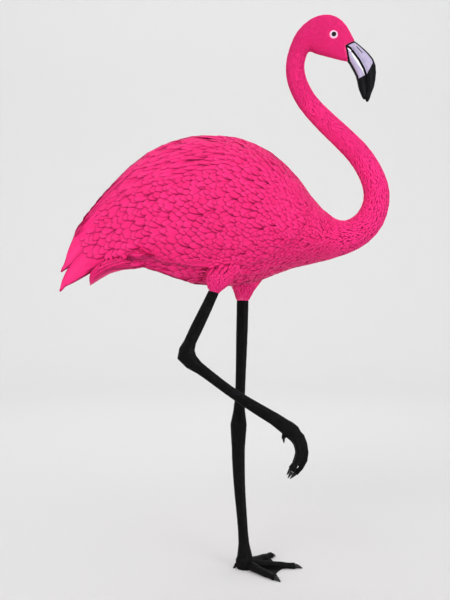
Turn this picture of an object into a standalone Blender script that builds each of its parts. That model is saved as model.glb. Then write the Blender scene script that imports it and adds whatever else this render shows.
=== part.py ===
"""A life-size American flamingo at rest on its left leg, with the right leg drawn up.

The bird faces +X, its left side is towards +Y, and everything is in metres. The origin is on
the floor under the standing foot, where the leg meets it.

Trunk, neck and head share one chain of rings. A ring lies in a plane across the body: it is
given by its point on the upper contour (back, nape, crown), its point on the lower contour
(belly, throat, chin) and its half width. Wings, tail, thighs, legs and bill have chains of
their own. Neighbouring pieces are parted by thin cuts of GAP.
"""

import math
from typing import NamedTuple

import bmesh
import bpy
from mathutils import Vector

# Driving dimensions
GAP = 0.0003
WING_DEPTH = 0.016  # thickness of the folded wing over the trunk's side
WING_PROUD = 0.006  # how far the folded wing stands out from the trunk
EYE_CENTRE = (0.194, 0.0205, 1.166)
EYE_RADIUS = 0.0105
FOOT_TOP = 0.026
TOE_REACH = 0.128  # from the leg's axis to the middle claw's tip
SIDE_TOE_SHARE = 0.90
TOE_SPLAY = math.radians(50)
TOE_RADIUS = 0.0098
WEB_THICKNESS = 0.0032
CLAW_LENGTH = 0.016
HIND_CLAW_SHARE = 0.6
FAR = 0.3  # beyond every surface of the bird, for cutters

UP = Vector((0.0, 0.0, 1.0))
SIDEWAYS = Vector((0.0, 1.0, 0.0))


class Ring(NamedTuple):
    """One cross-section. lean above 0 puts its widest part nearer the top."""

    name: str
    top: tuple
    bottom: tuple
    half_width: float
    y: float = 0.0
    lean: float = 0.0


BODY_RINGS = [
    Ring("rump", (-0.264, 0.734), (-0.264, 0.690), 0.013),
    Ring("croup", (-0.242, 0.784), (-0.240, 0.671), 0.028),
    Ring("back_end", (-0.210, 0.844), (-0.206, 0.657), 0.042),
    Ring("loin", (-0.170, 0.908), (-0.168, 0.645), 0.056),
    Ring("saddle", (-0.130, 0.947), (-0.123, 0.627), 0.071),
    Ring("mid_back", (-0.075, 0.952), (-0.070, 0.622), 0.088),
    Ring("shoulder", (-0.009, 0.946), (-0.013, 0.621), 0.104),
    Ring("chest", (0.058, 0.916), (0.040, 0.634), 0.112, lean=-0.04),
    Ring("breast", (0.113, 0.865), (0.098, 0.657), 0.106, lean=-0.06),
    Ring("crop", (0.150, 0.814), (0.155, 0.671), 0.082, lean=-0.06),
    Ring("neck_root", (0.187, 0.777), (0.212, 0.686), 0.050),
    Ring("bend_low", (0.220, 0.765), (0.266, 0.711), 0.036),
    Ring("bend_mid", (0.248, 0.781), (0.304, 0.752), 0.031),
    Ring("bend_up", (0.263, 0.813), (0.3205, 0.808), 0.028),
    Ring("rise", (0.257, 0.850), (0.313, 0.859), 0.0255),
    Ring("slope_low", (0.231, 0.895), (0.279, 0.920), 0.0230),
    Ring("slope_mid", (0.195, 0.933), (0.233, 0.967), 0.0210),
    Ring("slope_up", (0.156, 0.972), (0.193, 1.003), 0.0200),
    Ring("under_nape", (0.120, 1.015), (0.158, 1.039), 0.0195),
    Ring("hang", (0.097, 1.062), (0.138, 1.076), 0.0190),
    Ring("column", (0.0915, 1.105), (0.133, 1.103), 0.0190),
    Ring("nape", (0.1005, 1.147), (0.136, 1.122), 0.0200),
    Ring("hind_crown", (0.121, 1.186), (0.144, 1.138), 0.0240),
    Ring("crown", (0.154, 1.212), (0.160, 1.132), 0.0285),
    Ring("brow", (0.191, 1.217), (0.186, 1.125), 0.0290),
    Ring("forehead", (0.220, 1.200), (0.2075, 1.119), 0.0245),
    Ring("bill_line", (0.243, 1.161), (0.227, 1.115), 0.0160),
]
# The folded wings' outer surface, from the tips of the plumes to the shoulder.
MANTLE_REAR = [
    Ring("tips", (-0.404, 0.672), (-0.408, 0.601), 0.007),
    Ring("plume", (-0.383, 0.716), (-0.372, 0.610), 0.012),
    Ring("fall", (-0.350, 0.772), (-0.328, 0.626), 0.021),
    Ring("drape", (-0.306, 0.826), (-0.284, 0.639), 0.034),
    Ring("rump_cover", (-0.254, 0.881), (-0.238, 0.648), 0.048),
    Ring("back_cover", (-0.196, 0.924), (-0.185, 0.650), 0.063),
]
# The space under them: the trunk fills its front, and behind that it is open below.
HOLLOW_REAR = [
    Ring("plume", (-0.374, 0.698), (-0.362, 0.582), 0.003),
    Ring("fall", (-0.346, 0.756), (-0.318, 0.592), 0.011),
    Ring("drape", (-0.302, 0.813), (-0.276, 0.602), 0.024),
    Ring("rump_cover", (-0.250, 0.870), (-0.232, 0.614), 0.037),
    Ring("back_cover", (-0.193, 0.914), (-0.182, 0.628), 0.050),
]
TAIL_RINGS = [
    Ring("tip", (-0.3390, 0.627), (-0.3420, 0.620), 0.010),
    Ring("vane", (-0.331, 0.659), (-0.325, 0.631), 0.026),
    Ring("fan", (-0.310, 0.678), (-0.295, 0.649), 0.034),
    Ring("root", (-0.273, 0.692), (-0.260, 0.6575), 0.032),
    Ring("inside", (-0.240, 0.700), (-0.234, 0.659), 0.024),
    Ring("deep", (-0.214, 0.702), (-0.210, 0.668), 0.016),
]
# The folded wing as seen from the side: stretches of curve between sharp corners.
WING_OUTLINE = [
    [
        (0.134, 0.784),
        (0.123, 0.826),
        (0.090, 0.864),
        (0.040, 0.897),
        (-0.020, 0.921),
        (-0.086, 0.936),
        (-0.136, 0.947),
        (-0.185, 0.957),
        (-0.251, 0.927),
        (-0.317, 0.862),
        (-0.372, 0.777),
        (-0.409, 0.689),
        (-0.4030, 0.651),
    ],
    [(-0.4030, 0.651), (-0.3550, 0.707)],
    [(-0.3550, 0.707), (-0.3560, 0.7035), (-0.382, 0.672), (-0.395, 0.650), (-0.4060, 0.606)],
    [(-0.4060, 0.606), (-0.372, 0.630), (-0.3340, 0.662)],
    [
        (-0.3340, 0.662),
        (-0.299, 0.675),
        (-0.255, 0.681),
        (-0.202, 0.678),
        (-0.145, 0.665),
        (-0.086, 0.654),
        (-0.020, 0.656),
        (0.040, 0.674),
        (0.090, 0.707),
        (0.123, 0.744),
        (0.134, 0.784),
    ],
]
LEFT_THIGH_RINGS = [
    Ring("hip", (0.060, 0.765), (-0.045, 0.752), 0.018, 0.038),
    Ring("flank", (0.066, 0.703), (-0.056, 0.694), 0.025, 0.042),
    Ring("drum", (0.056, 0.653), (-0.046, 0.656), 0.028, 0.046),
    Ring("cuff", (0.036, 0.626), (-0.031, 0.626), 0.024, 0.046),
    Ring("hem", (0.021, 0.606), (-0.021, 0.606), 0.0165, 0.045),
    Ring("garter", (0.0130, 0.590), (-0.0170, 0.590), 0.0125, 0.044),
]
RIGHT_THIGH_RINGS = [
    Ring("hip", (0.010, 0.759), (-0.042, 0.780), 0.018, -0.038),
    Ring("flank", (0.026, 0.715), (-0.068, 0.741), 0.024, -0.041),
    Ring("drum", (0.016, 0.670), (-0.080, 0.689), 0.028, -0.046),
    Ring("cuff", (-0.008, 0.638), (-0.084, 0.646), 0.026, -0.050),
    Ring("hem", (-0.035, 0.621), (-0.083, 0.627), 0.018, -0.053),
    Ring("garter", (-0.0530, 0.6065), (-0.0785, 0.613), 0.0125, -0.053),
]
LEFT_SHANK_RINGS = [
    Ring("garter", (0.0115, 0.590), (-0.0155, 0.590), 0.0110, 0.044),
    Ring("calf", (0.0098, 0.523), (-0.0168, 0.523), 0.0105, 0.041),
    Ring("shin", (0.0038, 0.390), (-0.0190, 0.390), 0.0094, 0.035),
    Ring("above_ankle", (0.0028, 0.350), (-0.0220, 0.350), 0.0102, 0.033),
    Ring("condyle", (0.0058, 0.327), (-0.0280, 0.327), 0.0127, 0.032),
    Ring("ankle", (0.0072, 0.312), (-0.0300, 0.312), 0.0137, 0.031),
]
LEFT_TARSUS_RINGS = [
    Ring("ankle", (0.0072, 0.312), (-0.0300, 0.312), 0.0137, 0.031),
    Ring("below_ankle", (0.0068, 0.296), (-0.0298, 0.296), 0.0127, 0.030),
    Ring("collar", (0.0038, 0.276), (-0.0277, 0.276), 0.0107, 0.029),
    Ring("upper", (0.0028, 0.235), (-0.0265, 0.235), 0.0090, 0.026),
    Ring("middle", (0.0038, 0.169), (-0.0220, 0.169), 0.0082, 0.020),
    Ring("lower", (0.0078, 0.104), (-0.0153, 0.104), 0.0082, 0.013),
    Ring("fetlock", (0.0108, 0.062), (-0.0125, 0.062), 0.0087, 0.008),
    Ring("flare", (0.0148, 0.040), (-0.0130, 0.040), 0.0107, 0.005),
    Ring("foot_joint", (0.0190, FOOT_TOP), (-0.0155, FOOT_TOP), 0.0135, 0.003),
]
RIGHT_SHANK_RINGS = [
    Ring("garter", (-0.0545, 0.605), (-0.0770, 0.611), 0.0110, -0.053),
    Ring("calf", (-0.0700, 0.569), (-0.0945, 0.5755), 0.0105, -0.054),
    Ring("shin", (-0.0895, 0.526), (-0.1155, 0.5345), 0.0097, -0.055),
    Ring("above_ankle", (-0.1045, 0.4945), (-0.1305, 0.502), 0.0107, -0.055),
    Ring("condyle", (-0.1060, 0.481), (-0.1410, 0.485), 0.0127, -0.055),
    Ring("ankle", (-0.1030, 0.472), (-0.1440, 0.465), 0.0132, -0.055),
]
RIGHT_TARSUS_RINGS = [
    Ring("ankle", (-0.1030, 0.472), (-0.1440, 0.465), 0.0132, -0.055),
    Ring("below_ankle", (-0.0970, 0.463), (-0.1335, 0.4515), 0.0122, -0.055),
    Ring("collar", (-0.0775, 0.446), (-0.1005, 0.4325), 0.0098, -0.055),
    Ring("upper", (-0.0193, 0.4015), (-0.0345, 0.3845), 0.0084, -0.054),
    Ring("lower", (0.0392, 0.3665), (0.0235, 0.345), 0.0082, -0.053),
    Ring("flare", (0.0730, 0.3475), (0.0565, 0.324), 0.0102, -0.052),
    Ring("foot_joint", (0.0910, 0.336), (0.0750, 0.309), 0.0128, -0.052),
]
LEFT_HUB_RINGS = [
    Ring("foot_joint", (0.0190, FOOT_TOP), (-0.0155, FOOT_TOP), 0.0135, 0.003),
    Ring("hub", (0.0240, 0.015), (-0.0190, 0.016), 0.0170, 0.002),
    Ring("pad", (0.0250, -0.003), (-0.0150, -0.003), 0.0180, 0.001),
]
RIGHT_PALM_RINGS = [
    Ring("foot_joint", (0.0910, 0.336), (0.0750, 0.309), 0.0128, -0.052),
    Ring("knuckle", (0.1140, 0.321), (0.0910, 0.295), 0.0145, -0.052),
    Ring("palm", (0.1270, 0.294), (0.1030, 0.283), 0.0125, -0.052),
    Ring("fold", (0.1325, 0.262), (0.1080, 0.262), 0.0100, -0.052),
    Ring("web_edge", (0.1250, 0.234), (0.1030, 0.240), 0.0072, -0.052),
]
# The bill's two halves, from inside the face to the tip. The upper half's lower contour and
# the lower half's upper contour are the gape.
UPPER_BILL_RINGS = [
    Ring("seat", (0.2330, 1.1665), (0.2140, 1.152), 0.0120, lean=-0.25),
    Ring("base", (0.2440, 1.1595), (0.2230, 1.147), 0.0125, lean=-0.30),
    Ring("bridge", (0.2575, 1.149), (0.2390, 1.136), 0.0118, lean=-0.38),
    Ring("arch", (0.2730, 1.135), (0.2530, 1.1175), 0.0112, lean=-0.40),
    Ring("bend", (0.2848, 1.1205), (0.2632, 1.099), 0.0108, lean=-0.40),
    Ring("below_bend", (0.2905, 1.103), (0.2685, 1.083), 0.0098, lean=-0.38),
    Ring("hook", (0.2898, 1.0785), (0.2710, 1.0665), 0.0080, lean=-0.30),
    Ring("nail", (0.2855, 1.0565), (0.2710, 1.050), 0.0060, lean=-0.20),
    Ring("near_tip", (0.2775, 1.0385), (0.2700, 1.035), 0.0040),
    Ring("tip", (0.2725, 1.0275), (0.2690, 1.027), 0.0016),
]
LOWER_BILL_RINGS = [
    Ring("seat", (0.2120, 1.148), (0.2170, 1.125), 0.0110, lean=0.20),
    Ring("base", (0.2222, 1.1456), (0.2270, 1.116), 0.0130, lean=0.22),
    Ring("keel", (0.2382, 1.1332), (0.2390, 1.096), 0.0138, lean=0.20),
    Ring("trough", (0.2520, 1.1145), (0.2470, 1.079), 0.0135, lean=0.15),
    Ring("swell", (0.2620, 1.096), (0.2508, 1.060), 0.0120, lean=0.10),
    Ring("taper", (0.2672, 1.0805), (0.2547, 1.047), 0.0096),
    Ring("narrow", (0.2695, 1.0645), (0.2608, 1.036), 0.0068),
    Ring("tip", (0.2692, 1.047), (0.2645, 1.0315), 0.0036),
]


def blend_rows(knots, rows, place):
    """The row of numbers at a place along knots, on a smooth curve through all the rows."""
    last = len(knots) - 1
    i = min(max(sum(k <= place for k in knots) - 1, 0), last - 1)
    span = knots[i + 1] - knots[i]
    t = (place - knots[i]) / span

    def slope(j):
        a, b = max(j - 1, 0), min(j + 1, last)
        return [(q - p) / (knots[b] - knots[a]) for p, q in zip(rows[a], rows[b])]

    weights = (
        2 * t**3 - 3 * t**2 + 1,
        (t**3 - 2 * t**2 + t) * span,
        3 * t**2 - 2 * t**3,
        (t**3 - t**2) * span,
    )
    parts = (rows[i], slope(i), rows[i + 1], slope(i + 1))
    return [sum(w * p for w, p in zip(weights, column)) for column in zip(*parts)]


class Chain:
    """A smooth body drawn through rings, which pieces take a stretch of."""

    def __init__(self, rings):
        self.names = [r.name for r in rings]
        self.rows = [[*r.top, *r.bottom, r.half_width, r.y, r.lean] for r in rings]
        self.knots = [0.0]
        for a, b in zip(self.rows, self.rows[1:]):
            step = math.hypot(b[0] + b[2] - a[0] - a[2], b[1] + b[3] - a[1] - a[3]) / 2
            step = math.hypot(step, b[5] - a[5])
            self.knots.append(self.knots[-1] + step)

    def place(self, name, share=0.0):
        """How far along the chain a ring is, or a share of the way on to the next ring."""
        i = self.names.index(name)
        if not share:
            return self.knots[i]
        return self.knots[i] + share * (self.knots[i + 1] - self.knots[i])

    def ring_points(self, place, around, grow=0.0):
        """The points of the cross-section there, its outline moved outwards by grow."""
        tx, tz, bx, bz, half_width, y, lean = blend_rows(self.knots, self.rows, place)
        centre = Vector(((tx + bx) / 2, y, (tz + bz) / 2))
        half = Vector(((tx - bx) / 2, 0.0, (tz - bz) / 2))
        half += half.normalized() * grow
        points = []
        for k in range(around):
            c, s = math.cos(math.tau * k / around), math.sin(math.tau * k / around)
            side = (half_width + grow) * s * (1 + lean * c)
            points.append(centre + half * c + SIDEWAYS * side)
        return points

    def mesh(self, around, along, start=None, end=None, trims=(0.0, 0.0), grow=0.0):
        """A closed mesh from place start to place end. trims cut its ends short."""
        first = (self.knots[0] if start is None else start) + trims[0]
        last = (self.knots[-1] if end is None else end) - trims[1]
        places = [first + (last - first) * k / along for k in range(along + 1)]
        sections = [self.ring_points(p, around, grow) for p in places]
        if grow:
            for index, inner in ((0, 1), (-1, -2)):
                outwards = average(sections[index]) - average(sections[inner])
                shift = outwards.normalized() * grow
                sections[index] = [p + shift for p in sections[index]]
        return skinned(sections)


def average(points):
    """The middle of some points."""
    return sum(points, Vector()) / len(points)


def skinned(sections):
    """A closed triangle mesh over sections of equally many points, with flat ends.

    The diagonals mirror left to right, and a grown copy has the same ones, so that a piece and
    the cutter that makes room for it stay parallel.
    """
    mesh = bmesh.new()
    loops = [[mesh.verts.new(p) for p in section] for section in sections]
    count = len(loops[0])
    for a, b in zip(loops, loops[1:]):
        for k in range(count):
            n = (k + 1) % count
            corners = (a[k], a[n], b[n], b[k]) if 2 * k < count else (a[n], b[n], b[k], a[k])
            mesh.faces.new((corners[0], corners[1], corners[2]))
            mesh.faces.new((corners[0], corners[2], corners[3]))
    mesh.faces.new(loops[0][::-1])
    mesh.faces.new(loops[-1])
    bmesh.ops.recalc_face_normals(mesh, faces=mesh.faces)
    return mesh


def tube(path, radii, around, flatness=1.0):
    """A closed tube along path. flatness above 1 makes it wider across than it is high."""
    sections = []
    for i, (centre, radius) in enumerate(zip(path, radii)):
        along = (path[min(i + 1, len(path) - 1)] - path[max(i - 1, 0)]).normalized()
        reference = SIDEWAYS if abs(along.dot(SIDEWAYS)) < abs(along.dot(UP)) else UP
        across = along.cross(reference).normalized()
        over = across.cross(along).normalized()
        if reference is SIDEWAYS:
            across, over = over, across
        section = []
        for k in range(around):
            turn = math.tau * k / around
            side = across * (radius * flatness * math.cos(turn))
            section.append(centre + side + over * (radius * math.sin(turn)))
        sections.append(section)
    return skinned(sections)


def slab(outline, low, high, axis):
    """A plate with this outline, between low and high along axis "y" or "z"."""
    place = {
        "y": lambda p, level: Vector((p[0], level, p[1])),
        "z": lambda p, level: Vector((p[0], p[1], level)),
    }[axis]
    return skinned([[place(p, low) for p in outline], [place(p, high) for p in outline]])


def node(name, mesh):
    """A mesh as an object in the scene."""
    data = bpy.data.meshes.new(name)
    mesh.to_mesh(data)
    mesh.free()
    obj = bpy.data.objects.new(name, data)
    bpy.context.scene.collection.objects.link(obj)
    return obj


def combine(obj, operation, mesh):
    """Cuts a mesh from obj, joins it to obj, or keeps what they share."""
    other = node(obj.name + "_cutter", mesh)
    boolean = obj.modifiers.new(operation.title(), "BOOLEAN")
    boolean.operation = operation
    boolean.object = other
    bpy.context.view_layer.update()
    evaluated = obj.evaluated_get(bpy.context.evaluated_depsgraph_get())
    made = bpy.data.meshes.new_from_object(evaluated)
    obj.modifiers.clear()
    old, obj.data = obj.data, made
    bpy.data.meshes.remove(old)
    bpy.data.objects.remove(other)
    return obj


def mesh_of(obj):
    """A bmesh copy of an object's mesh."""
    mesh = bmesh.new()
    mesh.from_mesh(obj.data)
    return mesh


def material(name, colour, roughness):
    """A plain material. colour is linear red, green and blue."""
    made = bpy.data.materials.new(name)
    made.use_nodes = True
    shader = made.node_tree.nodes["Principled BSDF"]
    shader.inputs["Base Color"].default_value = (*colour, 1.0)
    shader.inputs["Roughness"].default_value = roughness
    shader.inputs["Metallic"].default_value = 0.0
    return made


def finish(objects, look):
    """Gives the objects their material and smooth shading."""
    for obj in objects:
        obj.data.materials.clear()
        obj.data.materials.append(look)
        obj.data.shade_smooth()
        obj.data.set_sharp_from_angle(angle=math.radians(50))


def outline_points(stretches, per_stretch, grow=0.0):
    """A closed outline from stretches of smooth curve, moved outwards by grow."""
    points = []
    for stretch in stretches:
        knots = [0.0]
        for a, b in zip(stretch, stretch[1:]):
            knots.append(knots[-1] + math.dist(a, b))
        steps = max(1, round(per_stretch * knots[-1]))
        for k in range(steps):
            points.append(blend_rows(knots, stretch, knots[-1] * k / steps))
    grown = []
    for i, (x, z) in enumerate(points):
        (px, pz), (nx, nz) = points[i - 1], points[(i + 1) % len(points)]
        length = math.hypot(nx - px, nz - pz)
        grown.append((x - (nz - pz) / length * grow, z + (nx - px) / length * grow))
    return grown


def wing_prism(side, grow):
    """The wing's outline as a thick plate on one side of the bird, or on both for side 0."""
    low = {0: -FAR, 1: GAP / 2, -1: -FAR}[side]
    high = {0: FAR, 1: FAR, -1: -GAP / 2}[side]
    return slab(outline_points(WING_OUTLINE, 38, -grow), low, high, "y")


def hollow_chain():
    """The space under the folded wings, which the trunk fills in front."""
    names = [r.name for r in BODY_RINGS]
    front = BODY_RINGS[names.index("saddle") : names.index("neck_root") + 1]
    inner = [r._replace(half_width=max(r.half_width - WING_DEPTH, 0.008)) for r in front]
    return Chain(HOLLOW_REAR + inner)


def mantle_chain():
    """The outer surface of the folded wings."""
    names = [r.name for r in BODY_RINGS]
    front = BODY_RINGS[names.index("saddle") : names.index("neck_root") + 1]
    proud = [r._replace(half_width=r.half_width + WING_PROUD) for r in front]
    return Chain(MANTLE_REAR + proud)


def torso(grow=0.0):
    """The trunk's full form, before the wings' pockets."""
    body = Chain(BODY_RINGS)
    trims = (0.0, GAP / 2)
    return body.mesh(24, 15, end=body.place("neck_root", 0.25), trims=trims, grow=grow)


def mantle(grow=0.0):
    """The folded wings' outer form."""
    return mantle_chain().mesh(24, 16, grow=grow)


def hollow(grow=0.0):
    """The form under the folded wings."""
    return hollow_chain().mesh(18, 11, grow=grow)


def tail_fan(grow=0.0):
    """The closed fan of the tail."""
    return Chain(TAIL_RINGS).mesh(12, 8, grow=grow)


def make_trunk():
    """The trunk with a pocket for each wing and a socket for the tail."""
    trunk = node("trunk", torso())
    pocket = node("wing_pocket", wing_prism(0, GAP))
    combine(pocket, "DIFFERENCE", hollow())
    combine(trunk, "DIFFERENCE", mesh_of(pocket))
    bpy.data.objects.remove(pocket)
    return combine(trunk, "DIFFERENCE", tail_fan(GAP))


def make_wing(name, side):
    """A folded wing, drooping to two points at the rear."""
    wing = node(name, mantle())
    combine(wing, "INTERSECT", wing_prism(side, 0.0))
    combine(wing, "DIFFERENCE", hollow(GAP))
    return combine(wing, "DIFFERENCE", tail_fan(GAP))


def make_neck_and_head(body):
    """Three lengths of neck and the head, with its sockets and the bill's seat."""
    cuts = [
        ("neck_lower", body.place("neck_root", 0.25), body.place("rise", 0.5), 14, 10),
        ("neck_middle", body.place("rise", 0.5), body.place("under_nape"), 14, 8),
        ("neck_upper", body.place("under_nape"), body.place("nape", 0.5), 14, 8),
        ("head", body.place("nape", 0.5), body.place("bill_line"), 20, 11),
    ]
    trims = (GAP / 2, GAP / 2)
    pieces = [
        node(name, body.mesh(around, along, start, end, trims))
        for name, start, end, around, along in cuts
    ]
    head = pieces[-1]
    combine(head, "DIFFERENCE", bill_half(UPPER_BILL_RINGS, GAP))
    combine(head, "DIFFERENCE", bill_half(LOWER_BILL_RINGS, GAP))
    for side in (1, -1):
        combine(head, "DIFFERENCE", eyeball(side, EYE_RADIUS + GAP))
    return pieces


def eyeball(side, radius):
    """A ball at one eye's place, with its pole pointing sideways."""
    mesh = bmesh.new()
    bmesh.ops.create_icosphere(mesh, subdivisions=2, radius=radius)
    x, y, z = EYE_CENTRE
    bmesh.ops.translate(mesh, verts=mesh.verts, vec=(x, side * y, z))
    return mesh


def bill_half(rings, grow=0.0):
    """The closed mesh of the bill's upper or lower half."""
    return Chain(rings).mesh(12, 11, grow=grow)


def make_bill():
    """The upper and lower halves of the bill, parted along the gape."""
    bill_upper = node("bill_upper", bill_half(UPPER_BILL_RINGS))
    bill_lower = node("bill_lower", bill_half(LOWER_BILL_RINGS))
    combine(bill_lower, "DIFFERENCE", bill_half(UPPER_BILL_RINGS, GAP))
    return [bill_upper, bill_lower]


def make_thigh(name, rings, side):
    """A feathered thigh that grows out of the belly under the wing."""
    thigh = node(name, Chain(rings).mesh(14, 8, trims=(0.0, GAP / 2)))
    combine(thigh, "DIFFERENCE", torso(GAP))
    cover = node("wing_cover", mantle(GAP))
    combine(cover, "INTERSECT", wing_prism(side, GAP))
    combine(thigh, "DIFFERENCE", mesh_of(cover))
    bpy.data.objects.remove(cover)
    return thigh


def make_leg(side, shank_rings, tarsus_rings):
    """The bare shank and the tarsus, parted at the ankle."""
    trims = (GAP / 2, GAP / 2)
    return [
        node(f"shank_{side}", Chain(shank_rings).mesh(10, 9, trims=trims)),
        node(f"tarsus_{side}", Chain(tarsus_rings).mesh(10, 11, trims=trims)),
    ]


def toe_length(share):
    """How far a toe goes from the leg's axis before its claw begins."""
    return TOE_REACH * share - CLAW_LENGTH


def toe_radii(count, base, tip):
    """Radii along a toe, swelling at its joints."""
    radii = []
    for k in range(count):
        share = k / (count - 1)
        swelling = 1 + 0.10 * math.cos(math.tau * 3 * share)
        radii.append((base + (tip - base) * share) * swelling)
    return radii


def curve_points(corners, count):
    """Points at even steps on a smooth curve through corners."""
    knots = [0.0]
    for a, b in zip(corners, corners[1:]):
        knots.append(knots[-1] + (Vector(b) - Vector(a)).length)
    places = [knots[-1] * k / (count - 1) for k in range(count)]
    return [Vector(blend_rows(knots, corners, p)) for p in places]


def claw(name, toe_end, direction, radius, droop, share=1.0):
    """A curved claw that carries on from the end of a toe. share is its share of CLAW_LENGTH."""
    along = direction.normalized()
    bend = UP * -droop
    steps, length = 4, CLAW_LENGTH * share
    path, radii = [], []
    for k in range(steps + 1):
        t = k / steps
        path.append(toe_end + along * (2 * GAP + length * t) + bend * t**2)
        radii.append(radius * (1 - 0.85 * t**1.4))
    return node(name, tube(path, radii, 6))


def standing_toes():
    """For each toe of the standing foot: its name, path and radii at root and tip."""
    toes = []
    for name, turn, share in (
        ("middle", 0.0, 1.0),
        ("inner", -TOE_SPLAY, SIDE_TOE_SHARE),
        ("outer", TOE_SPLAY, SIDE_TOE_SHARE),
    ):
        reach = toe_length(share)
        heading = Vector((math.cos(turn), math.sin(turn), 0.0))
        start = Vector((0.004, 0.0015, 0.0125))
        middle = heading * reach * 0.5 + UP * 0.0085
        end = heading * reach + UP * 0.0054
        path = curve_points([tuple(start), tuple(middle), tuple(end)], 8)
        toes.append((name, path, TOE_RADIUS * (0.7 + 0.3 * share), 0.0068))
    back = curve_points([(-0.008, 0.002, 0.013), (-0.0145, 0.002, 0.0090), (-0.0185, 0.002, 0.0052)], 5)
    toes.append(("hind", back, 0.0062, 0.0042))
    return toes


def web_outline(turn, share):
    """The web between the middle toe and a side toe: two straight sides and a hollow edge."""
    first = Vector((math.cos(turn * 0.03), math.sin(turn * 0.03))) * toe_length(1.0) * 0.76
    last = Vector((math.cos(turn), math.sin(turn))) * toe_length(share) * 0.95
    sag = (first + last) / 2 * 0.90
    edge = []
    for k in range(9):
        t = k / 8
        edge.append(first * (1 - t) ** 2 + sag * 2 * t * (1 - t) + last * t**2)
    points = [Vector((0.0, 0.0)), *edge]
    return [tuple(p) for p in points]


def make_standing_foot():
    """The left foot: three webbed toes flat on the floor, and a short hind toe."""
    foot = node("foot_left", Chain(LEFT_HUB_RINGS).mesh(12, 4, trims=(GAP / 2, 0.0)))
    claws = []
    for name, path, root, tip in standing_toes():
        radii = toe_radii(len(path), root, tip)
        combine(foot, "UNION", tube(path, radii, 8, flatness=1.12))
        droop = path[-1].z - 0.0010
        size = HIND_CLAW_SHARE if name == "hind" else 1.0
        heading = path[-1] - path[-2]
        claws.append(claw(f"claw_left_{name}", path[-1], heading, tip * 0.8, droop, size))
    for side in (1, -1):
        outline = web_outline(side * TOE_SPLAY, SIDE_TOE_SHARE)
        combine(foot, "UNION", slab(outline, -0.002, WEB_THICKNESS, "z"))
    for obj in [foot, *claws]:
        combine(obj, "DIFFERENCE", floor_slab())
    return foot, claws


def floor_slab():
    """Everything just below the floor, for cutting flat soles."""
    corners = [(-FAR, -FAR), (FAR, -FAR), (FAR, FAR), (-FAR, FAR)]
    return slab(corners, -0.1, 0.0, "z")


def make_lifted_foot():
    """The right foot, its toes curled together and hanging, the webs folded between them."""
    foot = node("foot_right", Chain(RIGHT_PALM_RINGS).mesh(12, 8, trims=(GAP / 2, 0.0)))
    y = -0.052
    middle = [(0.0945, 0.319), (0.112, 0.309), (0.1255, 0.289), (0.1305, 0.260), (0.1225, 0.235), (0.1085, 0.220)]
    side = [(0.0925, 0.3125), (0.104, 0.300), (0.1120, 0.284), (0.1150, 0.262), (0.1085, 0.241), (0.100, 0.227)]
    toes = [("middle", middle, 0.0, 0.0, 0.0082), ("inner", side, 0.006, 0.014, 0.0072)]
    toes.append(("outer", side, -0.006, -0.014, 0.0072))
    claws = []
    for name, line, spread_root, spread_tip, radius in toes:
        last = len(line) - 1
        corners = []
        for i, (x, z) in enumerate(line):
            corners.append((x, y + spread_root + (spread_tip - spread_root) * i / last, z))
        path = curve_points(corners, 8)
        radii = toe_radii(len(path), radius, 0.0056)
        combine(foot, "UNION", tube(path, radii, 8))
        claws.append(claw(f"claw_right_{name}", path[-1], path[-1] - path[-2], 0.0044, 0.0))
    hind = curve_points([(0.0885, y, 0.3095), (0.0835, y, 0.301), (0.0835, y, 0.294)], 5)
    combine(foot, "UNION", tube(hind, toe_radii(5, 0.0058, 0.0042), 8))
    claws.append(claw("claw_right_hind", hind[-1], hind[-1] - hind[-2], 0.0032, 0.0, HIND_CLAW_SHARE))
    return foot, claws


def make_flamingo():
    """Every piece of the bird."""
    plumage = material("plumage", (0.81, 0.030, 0.194), 0.75)
    horn = material("horn", (0.52, 0.47, 0.62), 0.35)
    hide = material("hide", (0.012, 0.011, 0.013), 0.55)
    claw_horn = material("claw", (0.006, 0.006, 0.007), 0.35)
    eye = material("eye", (0.62, 0.42, 0.55), 0.10)
    trunk = make_trunk()
    wings = [make_wing("wing_left", 1), make_wing("wing_right", -1)]
    tail = node("tail", tail_fan())
    neck_and_head = make_neck_and_head(Chain(BODY_RINGS))
    thighs = [
        make_thigh("thigh_left", LEFT_THIGH_RINGS, 1),
        make_thigh("thigh_right", RIGHT_THIGH_RINGS, -1),
    ]
    legs = make_leg("left", LEFT_SHANK_RINGS, LEFT_TARSUS_RINGS)
    legs += make_leg("right", RIGHT_SHANK_RINGS, RIGHT_TARSUS_RINGS)
    left_foot, left_claws = make_standing_foot()
    right_foot, right_claws = make_lifted_foot()
    eyes = [node("eye_left", eyeball(1, EYE_RADIUS)), node("eye_right", eyeball(-1, EYE_RADIUS))]
    finish([trunk, tail, *wings, *neck_and_head, *thighs], plumage)
    finish(make_bill(), horn)
    finish([*legs, left_foot, right_foot], hide)
    finish([*left_claws, *right_claws], claw_horn)
    finish(eyes, eye)


for leftover in list(bpy.data.objects):
    bpy.data.objects.remove(leftover)
make_flamingo()
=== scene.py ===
"""A life-size American flamingo at rest on its left leg: skin, feathers, bill, eyes and legs.

The bird faces +X, its left side is towards +Y, and the floor is at z = 0. One skin lies
inside the plumage by the coat's depth. Every feather is a thin closed blade that is laid
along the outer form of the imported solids, so its tip lies where the plumage ends.
"""

import logging
import math
from dataclasses import dataclass
from enum import Enum
from typing import Callable, Sequence

import bmesh
import bpy
import numpy as np
from bpy.types import Material, Object
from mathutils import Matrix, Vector
from mathutils.bvhtree import BVHTree


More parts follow.
